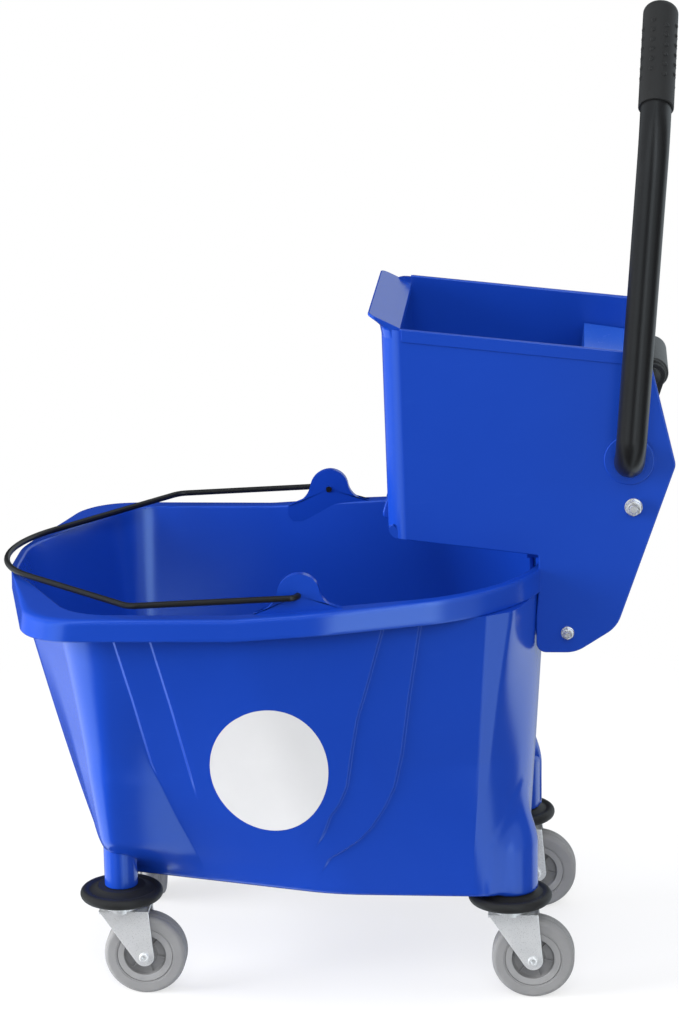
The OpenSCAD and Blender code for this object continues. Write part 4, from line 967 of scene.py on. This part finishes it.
def makePress():
    form, pivot, hinge = pressForm, hopperForm["pivot"], hopperForm["hinge"]
    # the whole press plate takes the lighter copy of the blue plastic, painted light for its lit top
    addPiece("pressPanel", roundedCopy("press_plate", 0.8), "press_plate", ["press_plate"],
             paintedLightBlue, clean=False)
    for side in ("near", "far"):
        addPiece("camArmPlate_" + side, roundedCopy("cam_arm_" + side, 0.8), "handle",
                 ["cam_arm_" + side], blackPaint, clean=False)
        addPiece("plainBush_" + side, roundedCopy("shaft_bush_" + side, 0.3), "wringer",
                 ["shaft_bush_" + side], bushBronze, clean=False)

    centre = atWringer(pivot[0], 0, pivot[1])
    start, end = form["shaft"]
    shaft = [(0, start), (7.2, start), (8, start + 0.8), (8, end - 1.0), (7.2, end), (0, end)]
    addTurning("driveShaftBar", shaft, centre, 40, "handle", "drive_shaft", zincPlate)
    y = form["clipY"]
    clip = [(8.0, y), (11.6, y), (12, y + 0.3), (12, y + 1.0), (11.6, y + 1.3), (8.0, y + 1.3), (8.0, y)]
    addTurning("snapRing", clip, centre, 40, "handle", "shaft_clip", zincPlate)

    a, arm = math.radians(form["rollerTurn"]), form["rollerArm"]
    roller = atWringer(pivot[0] + arm * math.cos(a), 0, pivot[1] + arm * math.sin(a))
    y = form["rollerHalf"]
    sleeve = [(5.05, -y), (12.2, -y), (13.4, 0.7 - y), (14, 2 - y)]
    addTurning("pressRollerSleeve", bothEnds(sleeve) + sleeve[:1], roller, 48, "press_roller",
               "press_roller", blackRoller)
    y = form["pinHalf"]
    rivet = [(0, -y), (6.4, -y), (7.5, 0.8 - y), (7.5, 2 - y), (5, 2 - y)]
    addTurning("rollerRivet", bothEnds(rivet), roller, 36, "handle", "roller_pin", blackPaint)
    y = form["hingeHalf"]
    rod = [(0, -y), (3.4, -y), (4, 0.6 - y)]
    addTurning("hingeRodBar", bothEnds(rod), atWringer(hinge[0], 0, hinge[1]), 32, "wringer",
               "hinge_rod", zincPlate)


makePress()


# tie rods with plated nuts

rodForm = {"upper": (77.5, 56.5, 8), "lower": (18.5, -61, 6)}          # x, z and thickness
nutForm = {"washer": 1.5, "tall": 0.8, "past": 2, "threadStep": 0.5, "across": 0.94, "hex": 0.72, "edge": 0.6}


def makeRods():
    form, half = nutForm, hopperForm["halfWidth"]
    seat, step = half + form["washer"], form["threadStep"]
    for label, (x, z, d) in rodForm.items():
        centre = atWringer(x, 0, z)
        r, tall = d / 2, d * form["tall"]
        end, hexTall = seat + tall + form["past"], tall * form["hex"]
        count = int((tall + 3) / step)
        rod = [(0, -end), (r * 0.8, -end)]            # rod with a run of thread at each end
        rod += [(r * (0.985 if i % 2 else 0.9), -end + 0.6 + i * step) for i in range(count)]
        rod.append((r * 0.985, -half + 2))
        addTurning(label + "RodBar", bothEnds(rod), centre, 28, "wringer", label + "_tie_rod", brightNut)
        bm = bmesh.new()        # washer and lock nut on each side
        washer = [(r, half), (d * 0.96, half), (d, half + 0.3), (d, half + 1.2), (d * 0.96, seat), (r, seat)]
        crown = [(d * 0.72, seat + tall * 0.6), (d * 0.70, seat + tall * 0.9), (d * 0.62, seat + tall),
                 (r * 1.06, seat + tall), (r * 1.02, seat + tall * 0.8)]
        for side in (-1, 1):
            spinShape(bm, [(rad, side * h) for rad, h in washer], centre, (0, 1, 0), 40)
            middle = centre + Vector((0, side * (seat + hexTall / 2) / 1000, 0))
            addHexNut(bm, middle, d * form["across"], hexTall, form["edge"])
            spinShape(bm, [(rad, side * h) for rad, h in crown], centre, (0, 1, 0), 40)
        addPiece(label + "LockNuts", bm, "wringer", [label + "_rod_nuts"], brightNut)


makeRods()


# handle and grip

handleForm = {"tubeY": 106.9, "stub": 2, "elbow": 27, "radius": 13.5, "run": 238, "bend": 60, "turn": 44, "arm": 117,
              "lean": 4.0, "gripLength": 109, "gripR": 17, "gripBore": 13.55, "capT": 4, "capR": 8,
              "bumps": 8, "bumpRows": 6, "bumpPitch": 10.4, "bumpR": 2.7, "bumpHigh": 1.5, "bumpSink": 1.25,
              "bumpStart": 27, "bumpShift": 5.2, "bumpTurn": 0.35}


def handlePlace(p):             # flat path: x out from the side plate, y up the leaning tube
    lean = math.radians(handleForm["lean"])
    pivot = hopperForm["pivot"]
    return atWringer(pivot[0] + p.y * math.sin(lean), -handleForm["tubeY"] - p.x, pivot[1] + p.y * math.cos(lean))


def makeHandle():
    form = handleForm
    path = barPath([(form["stub"], form["elbow"], 90), (form["run"], form["bend"], form["turn"]),
                    (form["arm"], 0, 0)])
    bm = bmesh.new()
    sweepTube(bm, [handlePlace(p) for p in path], form["radius"] / 1000, 48)
    addPiece("handleTubing", bm, "handle", ["handle_tube"], blackPaint)

    top, before = handlePlace(path[-1]), handlePlace(path[-2])
    axis = (top - before).normalized()
    base = top - axis * (form["arm"] / 1000)          # start of the straight arm
    stop, r, cap = form["arm"] + form["capT"], form["gripR"] - form["bumpHigh"], form["capR"]
    start = stop - form["gripLength"]
    bm = bmesh.new()
    profile = [(form["gripBore"], start), (r - 1.0, start)] + arcRows(r - 1.0, start + 1.0, 1.0, -90, 0, 4)[1:]
    profile += [(r, start + 8), (r, stop - 9)] + arcRows(r - cap, stop - cap, cap, 8, 90, 9) + [(0, stop)]
    spinShape(bm, profile, base, axis, 64)
    side = Vector((0, -1, 0)) - axis * Vector((0, -1, 0)).dot(axis)
    side.normalize()
    for row in range(form["bumpRows"]):
        for i in range(form["bumps"]):
            turn = Matrix.Rotation(2 * math.pi * i / form["bumps"] + form["bumpTurn"], 3, axis)
            bump = bmesh.ops.create_icosphere(bm, subdivisions=2, radius=form["bumpR"] / 1000)["verts"]
            along = start + form["bumpStart"] + row * form["bumpPitch"] + (form["bumpShift"] if i % 2 else 0)
            out = (turn @ side) * ((r - form["bumpSink"]) / 1000)
            bmesh.ops.translate(bm, verts=bump, vec=base + axis * (along / 1000) + out)
    addPiece("rubberGrip", bm, "handle", ["handle_grip"], blackRubber)


makeHandle()
print("wringer made")


# floor, lamps and camera

stageForm = {
    "floorHalf": 1.4, "floorColour": (0.90, 0.90, 0.90), "floorGlow": 0.66, "floorReach": (0.95, 0.8), "worldFill": 0.6,
    # what gloss sees by degrees right of the front, high up and low down: soft boxes each side of a dim front
    "upper": ((-180, 0.05), (-150, 0.05), (-135, 0.55), (-60, 0.55), (-52, 1.3), (-24, 1.4), (-18, 0.0), (4, 0.0),
              (9, 2.9), (22, 2.9), (30, 0.8), (56, 0.6), (66, 0.1), (104, 0.1), (112, 1.5), (132, 1.2), (150, 0.7),
              (177, 0.6), (180, 0.05)),
    "lower": ((-180, 0.05), (-150, 0.1), (-135, 1.5), (-75, 1.5), (-60, 0.0), (14, 0.0), (22, 1.35), (52, 1.35),
              (60, 0.1), (104, 0.1), (114, 1.4), (150, 1.2), (180, 0.05)),
    "lamps": (("leftPanel", (-2.9, -0.6, 0.9), (0, 0, 0.4), 2.0, 195),      # place, aim, size in metres, watts
              ("rightPanel", (2.6, -0.6, 2.0), (0, 0, 0.4), 2.0, 26),
              ("frontPanel", (0.3, -2.7, 2.3), (0, 0, 0.35), 1.8, 52),
              ("topPanel", (0.1, 0.3, 3.0), (0, 0, 0.3), 2.2, 16)),
}


def makeFloor():
    form = stageForm
    bm = bmesh.new()
    bmesh.ops.create_grid(bm, x_segments=2, y_segments=2, size=form["floorHalf"])
    mesh = bpy.data.meshes.new("studioFloor")
    bm.to_mesh(mesh)
    bm.free()
    floor = bpy.data.objects.new("studioFloor", mesh)
    bpy.context.scene.collection.objects.link(floor)
    material = bpy.data.materials.new("paleFloor")
    material.use_nodes = True
    tree = material.node_tree
    shader = tree.nodes["Principled BSDF"]
    shader.inputs["Base Color"].default_value = (*form["floorColour"], 1)
    shader.inputs["Roughness"].default_value = 0.9
    shader.inputs["Specular IOR Level"].default_value = 0.1
    coord = addNode(tree, "ShaderNodeTexCoord")       # the floor fades out into the white all round
    wide, deep = form["floorReach"]
    spread = addNode(tree, "ShaderNodeMapping", [("Location", (0.0, -0.25, 0.0)), ("Scale", (1 / wide, 1 / deep, 1))])
    far = addNode(tree, "ShaderNodeVectorMath", operation="LENGTH")
    fadeOut = addNode(tree, "ShaderNodeMapRange", [("From Min", 0.45), ("From Max", 1.0)],
                      interpolation_type="SMOOTHSTEP")
    clear = addNode(tree, "ShaderNodeBsdfTransparent")
    blend = addNode(tree, "ShaderNodeMixShader")
    white = addNode(tree, "ShaderNodeEmission")       # as seen, the shadow is thinned with white
    rays = addNode(tree, "ShaderNodeLightPath")
    dose = addNode(tree, "ShaderNodeMath", [(1, form["floorGlow"])], operation="MULTIPLY")
    thin = addNode(tree, "ShaderNodeMixShader")
    wire(tree,
         (coord.outputs["Object"], spread.inputs["Vector"]), (spread.outputs["Vector"], far.inputs[0]),
         (far.outputs["Value"], fadeOut.inputs["Value"]), (rays.outputs["Is Camera Ray"], dose.inputs[0]),
         (dose.outputs[0], thin.inputs[0]), (shader.outputs[0], thin.inputs[1]), (white.outputs[0], thin.inputs[2]),
         (fadeOut.outputs["Result"], blend.inputs[0]), (thin.outputs[0], blend.inputs[1]),
         (clear.outputs[0], blend.inputs[2]), (blend.outputs[0], tree.nodes["Material Output"].inputs["Surface"]))
    mesh.materials.append(material)
    floor.visible_glossy = False


def makeWorld():
    world = bpy.data.worlds.new("studioWorld")
    bpy.context.scene.world = world
    world.use_nodes = True
    tree = world.node_tree
    fill = tree.nodes["Background"]
    fill.inputs["Color"].default_value = (0.95, 0.97, 1.0, 1)
    fill.inputs["Strength"].default_value = stageForm["worldFill"]
    shown = addNode(tree, "ShaderNodeBackground", [("Color", (1, 1, 1, 1)), ("Strength", 1.0)])     # white as seen
    mirrored = addNode(tree, "ShaderNodeBackground", [("Color", (0.84, 0.94, 1.0, 1))])             # as gloss sees it
    coord = addNode(tree, "ShaderNodeTexCoord")
    split = addNode(tree, "ShaderNodeSeparateXYZ")
    flip = addNode(tree, "ShaderNodeMath", [(1, -1.0)], operation="MULTIPLY")
    bearing = addNode(tree, "ShaderNodeMath", operation="ARCTAN2")
    spread = addNode(tree, "ShaderNodeMapRange", [("From Min", -math.pi), ("From Max", math.pi)])
    ramps = []
    for label in ("upper", "lower"):
        ramp = addNode(tree, "ShaderNodeValToRGB")
        stops = ramp.color_ramp.elements
        table = stageForm[label]
        for degrees, level in table[1:-1]:            # levels are halved here and doubled after the mix
            stops.new((degrees + 180) / 360).color = (level / 2, level / 2, level / 2, 1)
        for stop, (_, level) in ((stops[0], table[0]), (stops[-1], table[-1])):
            stop.color = (level / 2, level / 2, level / 2, 1)
        wire(tree, (spread.outputs["Result"], ramp.inputs["Fac"]))
        ramps.append(ramp)
    low = addNode(tree, "ShaderNodeMapRange", [("From Min", -0.26), ("From Max", -0.36)],
                  interpolation_type="SMOOTHSTEP")
    boxes = addNode(tree, "ShaderNodeMix", data_type="RGBA")
    double = addNode(tree, "ShaderNodeMath", [(1, 2.0)], operation="MULTIPLY")
    rays = addNode(tree, "ShaderNodeLightPath")
    seen = addNode(tree, "ShaderNodeMath", operation="MAXIMUM")
    first = addNode(tree, "ShaderNodeMixShader")
    second = addNode(tree, "ShaderNodeMixShader")
    wire(tree,
         (coord.outputs["Generated"], split.inputs[0]), (split.outputs["Y"], flip.inputs[0]),
         (split.outputs["X"], bearing.inputs[0]), (flip.outputs[0], bearing.inputs[1]),
         (bearing.outputs[0], spread.inputs["Value"]), (split.outputs["Z"], low.inputs["Value"]),
         (low.outputs["Result"], boxes.inputs[0]), (ramps[0].outputs["Color"], boxes.inputs[6]),
         (ramps[1].outputs["Color"], boxes.inputs[7]), (boxes.outputs[2], double.inputs[0]),
         (double.outputs[0], mirrored.inputs["Strength"]), (rays.outputs["Is Glossy Ray"], first.inputs[0]),
         (fill.outputs[0], first.inputs[1]), (mirrored.outputs[0], first.inputs[2]),
         (rays.outputs["Is Camera Ray"], seen.inputs[0]), (rays.outputs["Is Transmission Ray"], seen.inputs[1]),
         (seen.outputs[0], second.inputs[0]), (first.outputs[0], second.inputs[1]),
         (shown.outputs[0], second.inputs[2]), (second.outputs[0], tree.nodes["World Output"].inputs["Surface"]))


def makeLamps():
    for name, place, aim, size, power in stageForm["lamps"]:
        data = bpy.data.lights.new(name, "AREA")
        data.shape = "SQUARE"
        data.size = size
        data.energy = power
        lamp = bpy.data.objects.new(name, data)
        lamp.location = place
        lamp.visible_glossy = False
        lamp.rotation_euler = (Vector(aim) - Vector(place)).to_track_quat("-Z", "Y").to_euler()
        bpy.context.scene.collection.objects.link(lamp)


cameraForm = {"focalPixels": 3417.492, "imageHeight": 1018, "sensor": 36.0, "place": (0.238142, -3.058673, 1.258384),
              "right": (0.9972711, 0.07130923, -0.01911426), "down": (0.000097085, -0.260174102, -0.965561716),
              "ahead": (-0.0738265, 0.96292493, -0.25947103)}


def makeCamera():
    form = cameraForm
    data = bpy.data.cameras.new("photoCamera")
    data.sensor_fit = "VERTICAL"
    data.sensor_height = form["sensor"]
    data.lens = form["focalPixels"] * form["sensor"] / form["imageHeight"]
    data.clip_end = 60
    camera = bpy.data.objects.new("photoCamera", data)
    turn = Matrix((Vector(form["right"]), -Vector(form["down"]), -Vector(form["ahead"]))).transposed().to_4x4()
    camera.matrix_world = Matrix.Translation(form["place"]) @ turn
    bpy.context.scene.collection.objects.link(camera)
    bpy.context.scene.camera = camera
    bpy.context.scene.view_settings.view_transform = "Standard"


makeFloor()
makeWorld()
makeLamps()
makeCamera()
print("stage made")
